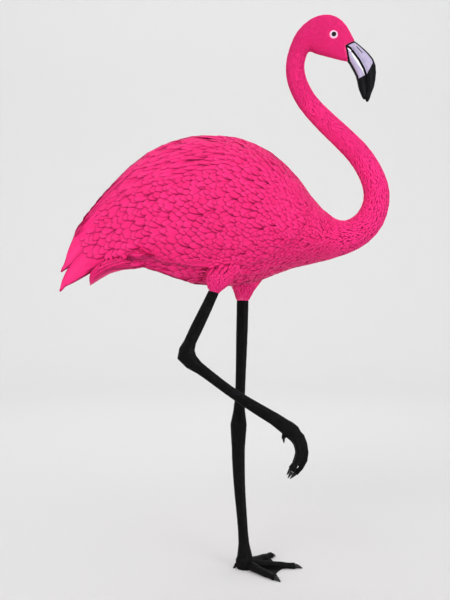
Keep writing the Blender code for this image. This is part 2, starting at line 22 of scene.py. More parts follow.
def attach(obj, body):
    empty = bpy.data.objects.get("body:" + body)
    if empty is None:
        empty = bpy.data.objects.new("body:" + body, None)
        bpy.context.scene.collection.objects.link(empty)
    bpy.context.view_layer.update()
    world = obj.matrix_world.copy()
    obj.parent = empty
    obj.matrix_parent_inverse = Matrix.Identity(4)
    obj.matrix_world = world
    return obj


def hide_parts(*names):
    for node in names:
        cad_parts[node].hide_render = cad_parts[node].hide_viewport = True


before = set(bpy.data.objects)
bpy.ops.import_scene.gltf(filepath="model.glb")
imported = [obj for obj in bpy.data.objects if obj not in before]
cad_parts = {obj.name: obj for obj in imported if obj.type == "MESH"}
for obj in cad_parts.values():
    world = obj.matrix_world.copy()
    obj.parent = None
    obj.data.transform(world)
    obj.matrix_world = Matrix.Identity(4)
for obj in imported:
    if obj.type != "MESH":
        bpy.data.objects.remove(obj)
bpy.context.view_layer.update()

log = logging.getLogger("flamingo")

BAKE_MAP = "OFBake"
VANE_MAP = "Vane"
PATCH = 0.003
MARGIN = 0.01
SEED = 7

Colour = tuple[float, float, float]
Place = tuple[float, float, float]
Flat = tuple[float, float]
Gauge = Callable[[np.ndarray], np.ndarray]
Zone = Callable[[np.ndarray, np.ndarray], np.ndarray]

# ---------------------------------------------------------------- shader maths


class Sock:
    """One output of a shader node, with the arithmetic of shader maths."""

    def __init__(self, shader: "Shader", socket: bpy.types.NodeSocket) -> None:
        """Keeps the socket and the shader that it belongs to."""
        self.shader = shader
        self.socket = socket

    def _math(self, operation: str, *values: "Sock | float", clamp: bool = False) -> "Sock":
        """A Math node on this or other values."""
        settings = {"operation": operation, "use_clamp": clamp}
        return self.shader.node("ShaderNodeMath", settings, dict(enumerate(values)))

    def __add__(self, other: "Sock | float") -> "Sock":
        """Sum."""
        return self._math("ADD", self, other)

    __radd__ = __add__

    def __sub__(self, other: "Sock | float") -> "Sock":
        """Difference."""
        return self._math("SUBTRACT", self, other)

    def __rsub__(self, other: float) -> "Sock":
        """Difference, the other way round."""
        return self._math("SUBTRACT", other, self)

    def __mul__(self, other: "Sock | float") -> "Sock":
        """Product."""
        return self._math("MULTIPLY", self, other)

    __rmul__ = __mul__

    def __truediv__(self, other: "Sock | float") -> "Sock":
        """Quotient."""
        return self._math("DIVIDE", self, other)

    def __pow__(self, other: "Sock | float") -> "Sock":
        """Power."""
        return self._math("POWER", self, other)

    def __abs__(self) -> "Sock":
        """Size without its sign."""
        return self._math("ABSOLUTE", self)

    def sine(self) -> "Sock":
        """Sine."""
        return self._math("SINE", self)

    def least(self, other: "Sock | float") -> "Sock":
        """The smaller of two values."""
        return self._math("MINIMUM", self, other)

    def most(self, other: "Sock | float") -> "Sock":
        """The larger of two values."""
        return self._math("MAXIMUM", self, other)

    def rise(self, low: float, high: float) -> "Sock":
        """A smooth step, which falls instead where high is the lower number.

        Args:
            low: Where it is 0.
            high: Where it is 1.

        Returns:
            The step, 0 to 1.
        """
        if low > high:
            return 1 - self.rise(high, low)
        settings = {"interpolation_type": "SMOOTHSTEP"}
        return self.shader.node("ShaderNodeMapRange", settings, {0: self, 1: low, 2: high})


class Shader:
    """A material's node tree, with one method that adds any node."""

    def __init__(self, name: str) -> None:
        """Starts a material with nothing but its output and a Principled shader.

        Args:
            name: The material's name.
        """
        self.material: Material = bpy.data.materials.new(name)
        self.material.use_nodes = True
        self.tree = self.material.node_tree
        self.surface = self.tree.nodes["Principled BSDF"]

    def node(
        self,
        kind: str,
        settings: dict[str, object] | None = None,
        inputs: dict[int | str, object] | None = None,
        output: int | str = 0,
    ) -> Sock:
        """Adds a node.

        Args:
            kind: The node's type.
            settings: Its properties, set before its inputs.
            inputs: Values or links of its inputs, by number or name.
            output: The output wanted.

        Returns:
            That output.
        """
        node = self.tree.nodes.new(kind)
        for name, value in (settings or {}).items():
            setattr(node, name, value)
        for key, value in (inputs or {}).items():
            self.feed(node.inputs[key], value)
        return Sock(self, node.outputs[output])

    def feed(self, socket: bpy.types.NodeSocket, value: object) -> None:
        """Links a Sock to a socket, or sets the socket's own value.

        Args:
            socket: The input.
            value: The Sock, number or colour that it gets.
        """
        if isinstance(value, Sock):
            self.tree.links.new(value.socket, socket)
        elif socket.type == "RGBA" and len(value) == 3:
            socket.default_value = (*value, 1.0)
        else:
            socket.default_value = value

    def principled(self, **values: object) -> Material:
        """Feeds the Principled shader.

        Args:
            values: What each input gets, by its name with _ for a space.

        Returns:
            The material.
        """
        for name, value in values.items():
            title = name.replace("_", " ").title().replace("Ior", "IOR")
            self.feed(self.surface.inputs[title], value)
        return self.material

    def place(self) -> Sock:
        """Object coordinates."""
        return self.node("ShaderNodeTexCoord", output="Object")

    def parts(self, vector: Sock) -> tuple[Sock, Sock, Sock]:
        """Takes a vector apart.

        Args:
            vector: The vector.

        Returns:
            Its three parts.
        """
        first = self.node("ShaderNodeSeparateXYZ", inputs={0: vector})
        outputs = first.socket.node.outputs
        return first, Sock(self, outputs[1]), Sock(self, outputs[2])

    def stretched(self, vector: Sock, scale: Sequence[float]) -> Sock:
        """A vector with each part multiplied by its own number."""
        settings = {"operation": "MULTIPLY"}
        return self.node("ShaderNodeVectorMath", settings, {0: vector, 1: tuple(scale)})

    def noise(self, vector: Sock, scale: float, detail: float = 2.0) -> Sock:
        """Noise between 0 and 1."""
        inputs = {"Vector": vector, "Scale": scale, "Detail": detail}
        return self.node("ShaderNodeTexNoise", {"normalize": True}, inputs)

    def cells(self, vector: Sock, scale: float) -> Sock:
        """The distance to the edge of a cell."""
        inputs = {"Vector": vector, "Scale": scale}
        return self.node("ShaderNodeTexVoronoi", {"feature": "DISTANCE_TO_EDGE"}, inputs)

    def within(self, value: Sock, limit: float, softness: float = 0.0003) -> Sock:
        """1 where a value is under a limit, fading to 0 just above it."""
        return value.rise(limit + softness, limit - softness)

    def mixed(self, factor: Sock | float, a: object, b: object) -> Sock:
        """Colour a where factor is 0, b where it is 1."""
        inputs = {0: factor, 6: a, 7: b}
        return self.node("ShaderNodeMix", {"data_type": "RGBA"}, inputs, output=2)

    def bump(self, height: Sock, depth: float, strength: float = 1.0) -> Sock:
        """A normal bent by a height between 0 and 1 that stands for depth metres."""
        inputs = {"Height": height, "Distance": depth, "Strength": strength}
        return self.node("ShaderNodeBump", inputs=inputs)

    def attribute(self, name: str) -> Sock:
        """The number that a mesh attribute holds."""
        return self.node("ShaderNodeAttribute", {"attribute_name": name}, output="Fac")

    def vane(self) -> tuple[Sock, Sock]:
        """Reads where a point lies on its feather.

        Returns:
            How far across it and along it, both 0 to 1.
        """
        uv = self.node("ShaderNodeUVMap", {"uv_map": VANE_MAP})
        across, along, _ = self.parts(uv)
        return across, along


# ---------------------------------------------------------------- finishes


class Half(Enum):
    """The two halves of the bill."""

    UPPER = "upper"
    LOWER = "lower"


@dataclass(frozen=True)
class FeatherFinish:
    """Pink feathers: painted shade at the root, bright on the blade, a pale fringe with painted
    light, and fine barbs.
    """

    name: str = "pink_feathers"
    # root: painted shade towards the feather's root, where it lies under its neighbours; the random
    # darker patches take it too.
    root: Colour = (0.74, 0.0086, 0.130)
    blade: Colour = (0.88, 0.0138, 0.183)
    # fringe: the pale shaft's own colour, and painted light along the feather's sides and tip.
    fringe: Colour = (0.90, 0.037, 0.230)
    barbs: float = 60.0
    shaft: float = 0.0
    clouds: float = 9.0
    grain: float = 900.0
    relief: float = 0.0004
    rough: float = 0.62
    sheen: float = 0.22

    def make(self) -> Material:
        """Builds the material, which reads the feather's own map and its tone.

        Returns:
            The material.
        """
        s = Shader(self.name)
        across, along = s.vane()
        off = abs(across - 0.5) * 2
        tone = s.attribute("tone")
        clouds = s.noise(s.place(), self.clouds, 3.0)
        # Painted shade: the colour darkens from the blade down to the root.
        colour = s.mixed(along.rise(0.05, 0.65), self.root, self.blade)
        # Painted light: the sides and tip are lightened towards the fringe, against the shade that
        # gathers at the feather's edges.
        edge = (off.rise(0.55, 1.0) * 0.55).most(along.rise(0.72, 1.0)) * 0.75
        colour = s.mixed(edge * (tone * 0.8 + 0.2), colour, self.fringe)
        deep = (clouds.rise(0.45, 0.75) * 0.35).most(tone.rise(0.75, 0.0) * 0.4)
        colour = s.mixed(deep, colour, self.root)
        barb = ((along - off * 0.16) * (self.barbs * 2 * math.pi)).sine() * 0.5 + 0.5
        height = barb * 0.6 + s.noise(s.place(), self.grain) * 0.4
        if self.shaft:
            shaft = off.rise(self.shaft * 2.2, self.shaft)
            colour = s.mixed(shaft * 0.6, colour, self.fringe)
            height = height.most(shaft * 1.6)
        return s.principled(
            base_color=colour,
            roughness=self.rough - barb * 0.08,
            specular_ior_level=self.sheen,
            normal=s.bump(height, self.relief, 0.7),
        )


# Painted light: the short feathers are a lighter copy of the body's colours, offsetting the shade
# that their steep lie gives the neck and head.
SHORT_FEATHERS = FeatherFinish(
    "short_feathers", (0.90, 0.015, 0.185), (0.97, 0.023, 0.235), barbs=3.0
)
LONG_FEATHERS = FeatherFinish("long_feathers", barbs=110.0, shaft=0.05)


@dataclass(frozen=True)
class SkinFinish:
    """Bare pink skin under the feathers, finely wrinkled, with pale rims round the eyes."""

    name: str = "bird_skin"
    flesh: Colour = (0.84, 0.014, 0.16)
    lores: Colour = (0.90, 0.045, 0.225)
    rim: Colour = (0.86, 0.56, 0.74)
    blotches: float = 60.0
    wrinkles: float = 620.0
    pores: float = 1500.0
    relief: float = 0.0003
    rough: float = 0.5
    face: tuple[Flat, Flat] = ((0.196, 0.216), (1.10, 1.13))
    rim_edge: Flat = (0.0013, 0.0007)

    def make(self, eye: "EyeSize") -> Material:
        """Builds the material.

        Args:
            eye: Where the eyes are, for the rims.

        Returns:
            The material.
        """
        s = Shader(self.name)
        place = s.place()
        x, _, z = s.parts(place)
        from_eye = ((x - eye.x) ** 2 + (z - eye.z) ** 2) ** 0.5
        face = x.rise(*self.face[0]) * z.rise(*self.face[1])
        rim = from_eye.rise(*(eye.opening + edge for edge in self.rim_edge))
        wrinkles = s.cells(s.stretched(place, (1.0, 1.0, 1.7)), self.wrinkles)
        pores = s.noise(place, self.pores, 3.0)
        blotches = s.noise(place, self.blotches, 4.0).rise(0.35, 0.7)
        colour = s.mixed(blotches, self.flesh, self.lores)
        colour = s.mixed(face * 0.5, colour, self.lores)
        colour = s.mixed(rim, colour, self.rim)
        height = wrinkles.rise(0.0, 0.25) * 0.7 + pores * 0.3
        return s.principled(
            base_color=colour,
            roughness=self.rough + pores * 0.15,
            normal=s.bump(height, self.relief, 0.6),
        )


@dataclass(frozen=True)
class BillFinish:
    """Lilac-grey horn with a black tip, dark edges, painted shade along the gape and in the nostril
    slits, and a painted highlight under the lower gape.
    """

    name: str = "bill_horn"
    lilac: Colour = (0.385, 0.335, 0.49)
    pale: Colour = (0.46, 0.41, 0.56)
    highlight_white: Colour = (0.88, 0.86, 0.90)
    black: Colour = (0.004, 0.004, 0.005)
    upper_tip: Place = (0.2690, 1.0857, 1.90)
    lower_tip: Place = (0.2600, 1.0803, 0.58)
    # Widths of the painted highlight under the gape and of the painted shade along it.
    highlight_band: float = 0.0058
    gape_shade: float = 0.0026
    base: float = 0.0039
    culmen: float = 0.0056
    keel: float = 0.0032
    highlight_band_ends: tuple[Flat, Flat] = ((1.078, 1.108), (1.150, 1.116))
    blur: float = 0.0003
    tip_blur: float = 0.0005
    fibres: float = 260.0
    ripples: float = 220.0
    waver: float = 0.0008
    rings: float = 900.0
    relief: float = 0.0003
    rough: float = 0.36
    sheen: float = 0.08

    def make(self, half: Half) -> Material:
        """Builds the material.

        Args:
            half: The half that it is for. The lower one has the painted highlight.

        Returns:
            The material.
        """
        lower = half is Half.LOWER
        s = Shader(f"{self.name}_{half.value}")
        place = s.place()
        x, _, z = s.parts(place)
        grain = s.noise(s.stretched(place, (1.0, 1.0, 0.35)), self.fibres, 4.0)
        wobble = (s.noise(place, self.ripples, 3.0) - 0.5) * self.waver
        gape = s.attribute("gape") + wobble
        line_x, line_z, slope = self.lower_tip if lower else self.upper_tip
        past = ((x - line_x) * slope - (z - line_z)) / math.hypot(1.0, slope) + wobble
        colour = s.mixed(grain.rise(0.3, 0.75), self.lilac, self.pale)
        if lower:
            # Painted highlight: a pale band along the lower half, just under the painted shade of
            # the gape.
            ends = z.rise(*self.highlight_band_ends[0]).least(z.rise(*self.highlight_band_ends[1]))
            highlight_white = (ends * self.highlight_band + self.gape_shade - gape).rise(-self.blur, self.blur)
            colour = s.mixed(highlight_white * ends.rise(0.0, 0.1), colour, self.highlight_white)
        # Black at the tip, the bill's own colour, and painted shade along the gape.
        dark = past.rise(-self.tip_blur, self.tip_blur).most(s.within(gape, self.gape_shade))
        dark = dark.most(s.within(s.attribute("edge") + wobble, self.base))
        ridge = self.keel if lower else self.culmen
        dark = dark.most(s.within(s.attribute("ridge") + wobble, ridge))
        # Painted shade inside the pressed nostril slits.
        if not lower:
            dark = dark.most(s.attribute("slit"))
        colour = s.mixed(dark, colour, self.black)
        rings = (((x * 0.5 - z) + wobble) * self.rings).sine() * 0.5 + 0.5
        return s.principled(
            base_color=colour,
            roughness=self.rough + grain * 0.16,
            specular_ior_level=self.sheen,
            normal=s.bump(grain * 0.7 + rings * 0.3, self.relief, 0.5),
        )


@dataclass(frozen=True)
class LegFinish:
    """Near-black leg skin: broad plates down the front, small scales elsewhere."""

    name: str = "leg_scales"
    dark: Colour = (0.003, 0.0028, 0.0033)
    worn: Colour = (0.010, 0.009, 0.011)
    crack: Colour = (0.002, 0.002, 0.002)
    plate: float = 0.0078
    scale: float = 300.0
    wander: float = 120.0
    dust: float = 90.0
    relief: float = 0.0007
    rough: float = 0.42
    sheen: float = 0.07

    def make(self) -> Material:
        """Builds the material, which reads how far down a leg and how far in front a place is.

        Returns:
            The material.
        """
        s = Shader(self.name)
        place = s.place()
        small = s.cells(s.stretched(place, (1.0, 1.0, 0.8)), self.scale).rise(0.0, 0.14)
        wave = s.attribute("down") / self.plate + (s.noise(place, self.wander) - 0.5) * 0.25
        part = s.node("ShaderNodeMath", {"operation": "FRACT"}, {0: wave})
        plates = part.rise(0.0, 0.10).least(part.rise(1.0, 0.90)) * (0.7 + part * 0.3)
        front = s.attribute("front").rise(0.15, 0.45)
        height = plates * front + small * (1 - front)
        dust = s.noise(place, self.dust, 5.0)
        colour = s.mixed(dust.rise(0.45, 0.8) * 0.7, self.dark, self.worn)
        colour = s.mixed(height.rise(0.7, 0.0), colour, self.crack)
        return s.principled(
            base_color=colour,
            roughness=self.rough + dust * 0.2,
            specular_ior_level=self.sheen,
            normal=s.bump(height, self.relief, 0.9),
        )


@dataclass(frozen=True)
class ClawFinish:
    """Black horn with lengthwise grain."""

    name: str = "claw_horn"
    horn: Colour = (0.007, 0.007, 0.008)
    worn: Colour = (0.045, 0.040, 0.042)
    grain: float = 700.0
    relief: float = 0.0002
    rough: float = 0.34
    sheen: float = 0.25

    def make(self) -> Material:
        """Builds the material.

        Returns:
            The material.
        """
        s = Shader(self.name)
        grain = s.noise(s.stretched(s.place(), (0.3, 1.0, 1.0)), self.grain, 4.0)
        colour = s.mixed(grain.rise(0.5, 0.9) * 0.6, self.horn, self.worn)
        return s.principled(
            base_color=colour,
            roughness=self.rough + grain * 0.15,
            specular_ior_level=self.sheen,
            normal=s.bump(grain, self.relief, 0.6),
        )


@dataclass(frozen=True)
class EyeFinish:
    """A pale lilac iris with fine spokes round a black pupil, wet all over."""

    name: str = "eye_wet"
    iris: Colour = (0.84, 0.68, 0.79)
    iris_edge: Colour = (0.78, 0.50, 0.67)
    pupil: Colour = (0.002, 0.002, 0.003)
    spokes: Flat = (9.0, 90.0)
    edge: float = 0.86
    pupil_edge: Flat = (0.0003, 0.0002)
    rough: float = 0.15
    sheen: float = 0.16

    def make(self, eye: "EyeSize") -> Material:
        """Builds the material.

        Args:
            eye: Where the eyes are and how large the pupil is.

        Returns:
            The material.
        """
        s = Shader(self.name)
        place = s.place()
        x, _, z = s.parts(place)
        radius = ((x - eye.x) ** 2 + (z - eye.z) ** 2) ** 0.5
        turn = s.node("ShaderNodeMath", {"operation": "ARCTAN2"}, {0: z - eye.z, 1: x - eye.x})
        inputs = {0: turn * self.spokes[0], 1: radius * self.spokes[1]}
        spokes = s.noise(s.node("ShaderNodeCombineXYZ", inputs=inputs), 2.0, 4.0)
        colour = s.mixed(spokes.rise(0.3, 0.7), self.iris, self.iris_edge)
        rim = radius.rise(eye.opening * self.edge, eye.opening)
        colour = s.mixed(rim, colour, self.iris_edge)
        outer, inner = self.pupil_edge
        pupil = radius.rise(eye.pupil + outer, eye.pupil - inner)
        colour = s.mixed(pupil, colour, self.pupil)
        return s.principled(base_color=colour, roughness=self.rough, specular_ior_level=self.sheen)


@dataclass(frozen=True)
class StageFinish:
    """Smooth pale studio paper."""

    name: str = "studio_paper"
    paper: Colour = (0.67, 0.67, 0.67)
    mottle: Colour = (0.655, 0.655, 0.66)
    tooth: float = 3.0
    rough: float = 0.9

    def make(self) -> Material:
        """Builds the material.

        Returns:
            The material.
        """
        s = Shader(self.name)
        tooth = s.noise(s.place(), self.tooth, 3.0)
        colour = s.mixed(tooth * 0.3, self.paper, self.mottle)
        return s.principled(base_color=colour, roughness=self.rough)


# ---------------------------------------------------------------- meshes


def deselect() -> None:
    """Leaves object mode's selection empty."""
    bpy.ops.object.select_all(action="DESELECT")


def take(obj: Object) -> Object:
    """Makes one object the only one selected and the active one.

    Args:
        obj: The object.

    Returns:
        The same object.
    """
    deselect()
    obj.select_set(True)
    bpy.context.view_layer.objects.active = obj
    return obj


def apply(obj: Object, kind: str, **settings: object) -> Object:
    """Adds a modifier to an object and applies it.

    Args:
        obj: The object.
        kind: The modifier's type.
        settings: Its properties.

    Returns:
        The object.
    """
    take(obj)
    modifier = obj.modifiers.new(kind.title(), kind)
    for name, value in settings.items():
        setattr(modifier, name, value)
    bpy.ops.object.modifier_apply(modifier=modifier.name)
    return obj


def soften(obj: Object, times: int) -> Object:
    """Evens out an object's faces a few times."""
    return apply(obj, "SMOOTH", factor=0.5, iterations=times)


def new_object(name: str, data: bpy.types.ID) -> Object:
    """Adds an object to the scene.

    Args:
        name: Its name.
        data: Its mesh, light or camera.

    Returns:
        The object.
    """
    obj = bpy.data.objects.new(name, data)
    bpy.context.scene.collection.objects.link(obj)
    return obj


def dressed(obj: Object, finish: Material | None, slot: str, *nodes: str) -> Object:
    """Finishes a piece, hangs it from the root empty, and hides the frame's solids that it
    replaces.

    Args:
        obj: The piece.
        finish: Its material, if it gets one now.
        slot: The slot that its finish belongs to. Not used.
        nodes: The frame's solids that it replaces.

    Returns:
        The piece.
    """
    obj.data.materials.clear()
    if finish:
        obj.data.materials.append(finish)
    take(obj)
    bpy.ops.object.shade_smooth()
    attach(obj, "root")
    if nodes:
        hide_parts(*nodes)
    return obj


def corners(obj: Object) -> np.ndarray:
    """Reads an object's vertices.

    Args:
        obj: The object.

    Returns:
        Their places, one row each.
    """
    found = np.empty(len(obj.data.vertices) * 3)
    obj.data.vertices.foreach_get("co", found)
    return found.reshape(-1, 3)


def corner_normals(obj: Object) -> np.ndarray:
    """Reads the normals at an object's vertices.

    Args:
        obj: The object.

    Returns:
        The normals, one row each.
    """
    found = np.empty(len(obj.data.vertices) * 3, dtype=np.float32)
    obj.data.vertex_normals.foreach_get("vector", found)
    return found.reshape(-1, 3).astype(float)


def move_corners(obj: Object, points: np.ndarray) -> None:
    """Puts an object's vertices at new places."""
    obj.data.vertices.foreach_set("co", points.ravel())
    obj.data.update()


def unit(vectors: np.ndarray) -> np.ndarray:
    """Vectors of length 1 along the given ones."""
    return vectors / np.maximum(np.linalg.norm(vectors, axis=-1, keepdims=True), 1e-12)


def dot(a: np.ndarray, b: np.ndarray) -> np.ndarray:
    """The dot products of two lots of vectors."""
    return np.einsum("...i,...i->...", a, b)


def square_to(ways: np.ndarray, normals: np.ndarray) -> np.ndarray:
    """Vectors of length 1, each turned square to its normal."""
    return unit(ways - dot(ways, normals)[..., None] * normals)


def smooth(x: np.ndarray, low: float, high: float) -> np.ndarray:
    """A smooth step from 0 at low to 1 at high."""
    t = np.clip((x - low) / (high - low), 0.0, 1.0)
    return t * t * (3 - 2 * t)


@dataclass(frozen=True)
class Fade:
    """A number that changes by a given amount, smoothly, between two levels."""

    base: float
    change: float
    low: float
    high: float

    def at(self, level: np.ndarray) -> np.ndarray:
        """The number at some levels."""
        return self.base + self.change * smooth(level, self.low, self.high)


def reaches(line: np.ndarray) -> np.ndarray:
    """How far along a line each of its corners is."""
    return np.concatenate([[0.0], np.cumsum(np.linalg.norm(np.diff(line, axis=0), axis=1))])


def nearest_on(
    points: np.ndarray, line: np.ndarray, barred: np.ndarray | None = None
) -> tuple[np.ndarray, np.ndarray, np.ndarray]:
    """Finds the stretch of a line that is nearest to each point.

    Args:
        points: The points.
        line: The line's corners.
        barred: Which stretches, one row each, each point may not meet.

    Returns:
        How far each point is off, the stretch's number, and how far along it, 0 to 1.
    """
    gaps, shares = [], []
    for a, b in zip(line, line[1:]):
        span = b - a
        shares.append(np.clip((points - a) @ span / (span @ span), 0.0, 1.0))
        gaps.append(np.linalg.norm(points - a - shares[-1][:, None] * span, axis=1))
    off = np.array(gaps)
    if barred is not None:
        off[barred] = np.inf
    found = off.argmin(axis=0)
    each = np.arange(len(points))
    return off[found, each], found, np.array(shares)[found, each]


def triangles_object(name: str, points: np.ndarray, faces: np.ndarray) -> Object:
    """A new object made from triangles.

    Args:
        name: Its name.
        points: Its vertices, one row each.
        faces: Three vertex numbers for each triangle.

    Returns:
        The object, shaded smooth.
    """
    mesh = bpy.data.meshes.new(name)
    mesh.vertices.add(len(points))
    mesh.vertices.foreach_set("co", points.ravel())
    mesh.loops.add(faces.size)
    mesh.loops.foreach_set("vertex_index", faces.ravel().astype(np.int32))
    mesh.polygons.add(len(faces))
    mesh.polygons.foreach_set("loop_start", np.arange(0, faces.size, 3, dtype=np.int32))
    mesh.polygons.foreach_set("use_smooth", np.ones(len(faces), dtype=bool))
    mesh.update(calc_edges=True)
    mesh.validate()
    return new_object(name, mesh)


def add_number(obj: Object, name: str, values: np.ndarray) -> None:
    """Gives a mesh a number at each vertex."""
    layer = obj.data.attributes.new(name, "FLOAT", "POINT")
    layer.data.foreach_set("value", values.astype(np.float32))


def add_map(obj: Object, name: str, at_corner: np.ndarray) -> None:
    """Gives a mesh a UV map.

    Args:
        obj: The object.
        name: The map's name.
        at_corner: A place for each vertex.
    """
    loops = np.empty(len(obj.data.loops), dtype=np.int32)
    obj.data.loops.foreach_get("vertex_index", loops)
    layer = obj.data.uv_layers.new(name=name, do_init=False)
    layer.data.foreach_set("uv", at_corner[loops].astype(np.float32).ravel())


@dataclass(frozen=True)
class Cut:
    """A plane that shortens a copied solid. What lies ahead of it is taken away."""

    node: str
    point: Place
    ahead: Place


def merged(name: str, nodes: Sequence[str], cuts: Sequence[Cut], cell: float) -> Object:
    """One closed mesh round copies of some of the frame's solids.

    Args:
        name: The new object's name.
        nodes: The solids that are copied.
        cuts: The planes that shorten some of them.
        cell: The size of the new mesh's faces.

    Returns:
        The new object.
    """
    mesh = bmesh.new()
    for node in nodes:
        part = bmesh.new()
        part.from_mesh(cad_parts[node].data)
        bmesh.ops.remove_doubles(part, verts=part.verts, dist=1e-6)
        for cut in (c for c in cuts if c.node == node):
            made = bmesh.ops.bisect_plane(
                part,
                geom=[*part.verts, *part.edges, *part.faces],
                plane_co=cut.point,
                plane_no=cut.ahead,
                clear_outer=True,
            )
            rim = [e for e in made["geom_cut"] if isinstance(e, bmesh.types.BMEdge)]
            bmesh.ops.holes_fill(part, edges=rim)
        data = bpy.data.meshes.new("part")
        part.to_mesh(data)
        part.free()
        mesh.from_mesh(data)
        bpy.data.meshes.remove(data)
    data = bpy.data.meshes.new(name)
    mesh.to_mesh(data)
    mesh.free()
    whole = new_object(name, data)
    return apply(whole, "REMESH", mode="VOXEL", voxel_size=cell, use_smooth_shade=True)


# ---------------------------------------------------------------- the bird's own line


@dataclass(frozen=True)
class Station:
    """A place along the bird from tail to bill: its upper and lower contour, and the coat."""

    name: str
    top: Flat
    bottom: Flat
    coat: float


@dataclass
class Spine:
    """The line through the middle of the bird, which gives the lie of the coat."""

    stations: tuple[Station, ...] = (
        Station("tips", (-0.404, 0.672), (-0.408, 0.601), 0.003),
        Station("plume", (-0.383, 0.716), (-0.372, 0.610), 0.004),
        Station("fall", (-0.350, 0.772), (-0.328, 0.626), 0.005),
        Station("drape", (-0.306, 0.826), (-0.284, 0.639), 0.007),
        Station("rump_cover", (-0.254, 0.881), (-0.238, 0.648), 0.008),
        Station("back_cover", (-0.196, 0.924), (-0.185, 0.650), 0.009),
        Station("saddle", (-0.130, 0.947), (-0.123, 0.627), 0.009),
        Station("mid_back", (-0.075, 0.952), (-0.070, 0.622), 0.009),
        Station("shoulder", (-0.009, 0.946), (-0.013, 0.621), 0.009),
        Station("chest", (0.058, 0.916), (0.040, 0.634), 0.0085),
        Station("breast", (0.113, 0.865), (0.098, 0.657), 0.008),
        Station("crop", (0.150, 0.814), (0.155, 0.671), 0.0065),
        Station("neck_root", (0.187, 0.777), (0.212, 0.686), 0.005),
        Station("bend_low", (0.220, 0.765), (0.266, 0.711), 0.004),
        Station("bend_mid", (0.248, 0.781), (0.304, 0.752), 0.0036),
        Station("bend_up", (0.263, 0.813), (0.3205, 0.808), 0.0032),
        Station("rise", (0.257, 0.850), (0.313, 0.859), 0.0030),
        Station("slope_low", (0.231, 0.895), (0.279, 0.920), 0.0028),
        Station("slope_mid", (0.195, 0.933), (0.233, 0.967), 0.0026),
        Station("slope_up", (0.156, 0.972), (0.193, 1.003), 0.0024),
        Station("under_nape", (0.120, 1.015), (0.158, 1.039), 0.0022),
        Station("hang", (0.097, 1.062), (0.138, 1.076), 0.0020),
        Station("column", (0.0915, 1.105), (0.133, 1.103), 0.0019),
        Station("nape", (0.1005, 1.147), (0.136, 1.122), 0.0017),
        Station("hind_crown", (0.121, 1.186), (0.144, 1.138), 0.0015),
        Station("crown", (0.154, 1.212), (0.160, 1.132), 0.0013),
        Station("brow", (0.191, 1.217), (0.186, 1.125), 0.0011),
        Station("forehead", (0.220, 1.200), (0.2075, 1.119), 0.0009),
        Station("bill_line", (0.243, 1.161), (0.227, 1.115), 0.0007),
    )
    fold: Flat = (0.172, 0.957)

    def __post_init__(self) -> None:
        """Works out the line's lengths and directions."""
        self.top = np.array([(s.top[0], 0.0, s.top[1]) for s in self.stations])
        self.bottom = np.array([(s.bottom[0], 0.0, s.bottom[1]) for s in self.stations])
        self.line = (self.top + self.bottom) / 2
        self.reach = reaches(self.line)
        self.forward = self._directions(self.line)
        self.upper_way = self._directions(self.top)
        self.lower_way = self._directions(self.bottom)
        self.coats = np.array([s.coat for s in self.stations])

    @staticmethod
    def _directions(line: np.ndarray) -> np.ndarray:
        """Works out which way a line runs.

        Args:
            line: Its corners.

        Returns:
            Its direction at each of them.
        """
        steps = unit(np.diff(line, axis=0))
        ends = np.vstack([steps[:1], steps, steps[-1:]])
        return unit(ends[:-1] + ends[1:])

    def at(self, name: str) -> float:
        """How far along the line a station is."""
        return float(self.reach[[s.name for s in self.stations].index(name)])

    def locate(self, points: np.ndarray) -> np.ndarray:
        """How far along the line the nearest place to each point is.

        Args:
            points: The points. Those on the body, inside the fold, never meet the neck.

        Returns:
            The lengths.
        """
        on_body = (points[:, 0] < self.fold[0]) & (points[:, 2] < self.fold[1])
        neck = self.reach[:-1] >= self.at("bend_low")
        _, i, t = nearest_on(points * (1.0, 0.0, 1.0), self.line, neck[:, None] & on_body)
        return self.reach[i] + t * (self.reach[i + 1] - self.reach[i])

    def along(self, where: np.ndarray, values: np.ndarray) -> np.ndarray:
        """Reads values between the stations.

        Args:
            where: Places along the line.
            values: The values at the stations.

        Returns:
            The values at those places.
        """
        columns = values.reshape(len(values), -1).T
        read = np.stack([np.interp(where, self.reach, c) for c in columns], axis=-1)
        return read if values.ndim > 1 else read[:, 0]

    def backwards(self, points: np.ndarray) -> np.ndarray:
        """Finds the way towards the tail, which follows both contours.

        Args:
            points: Where.

        Returns:
            The directions.
        """
        where = self.locate(points)
        low, high = self.along(where, self.bottom), self.along(where, self.top)
        span = high - low
        share = np.clip(dot(points - low, span) / dot(span, span), 0.0, 1.0)[:, None]
        upper, lower = self.along(where, self.upper_way), self.along(where, self.lower_way)
        return -unit(upper * share + lower * (1 - share))

    def depth(self, points: np.ndarray) -> np.ndarray:
        """The coat's depth at some points."""
        return self.along(self.locate(points), self.coats)

    def unwrapped(self, points: np.ndarray) -> np.ndarray:
        """Finds where points lie on the unwrap of the skin.

        Args:
            points: The points.

        Returns:
            How far along the bird and round it each is, 0 to 1.
        """
        where = self.locate(points)
        forward = unit(self.along(where, self.forward))
        up = np.stack([-forward[:, 2], 0 * where, forward[:, 0]], axis=1)
        rise = dot(points - self.along(where, self.line), up)
        turn = np.arctan2(points[:, 1], rise) / (2 * np.pi) + 0.5
        return np.stack([where / self.reach[-1], turn], axis=1)


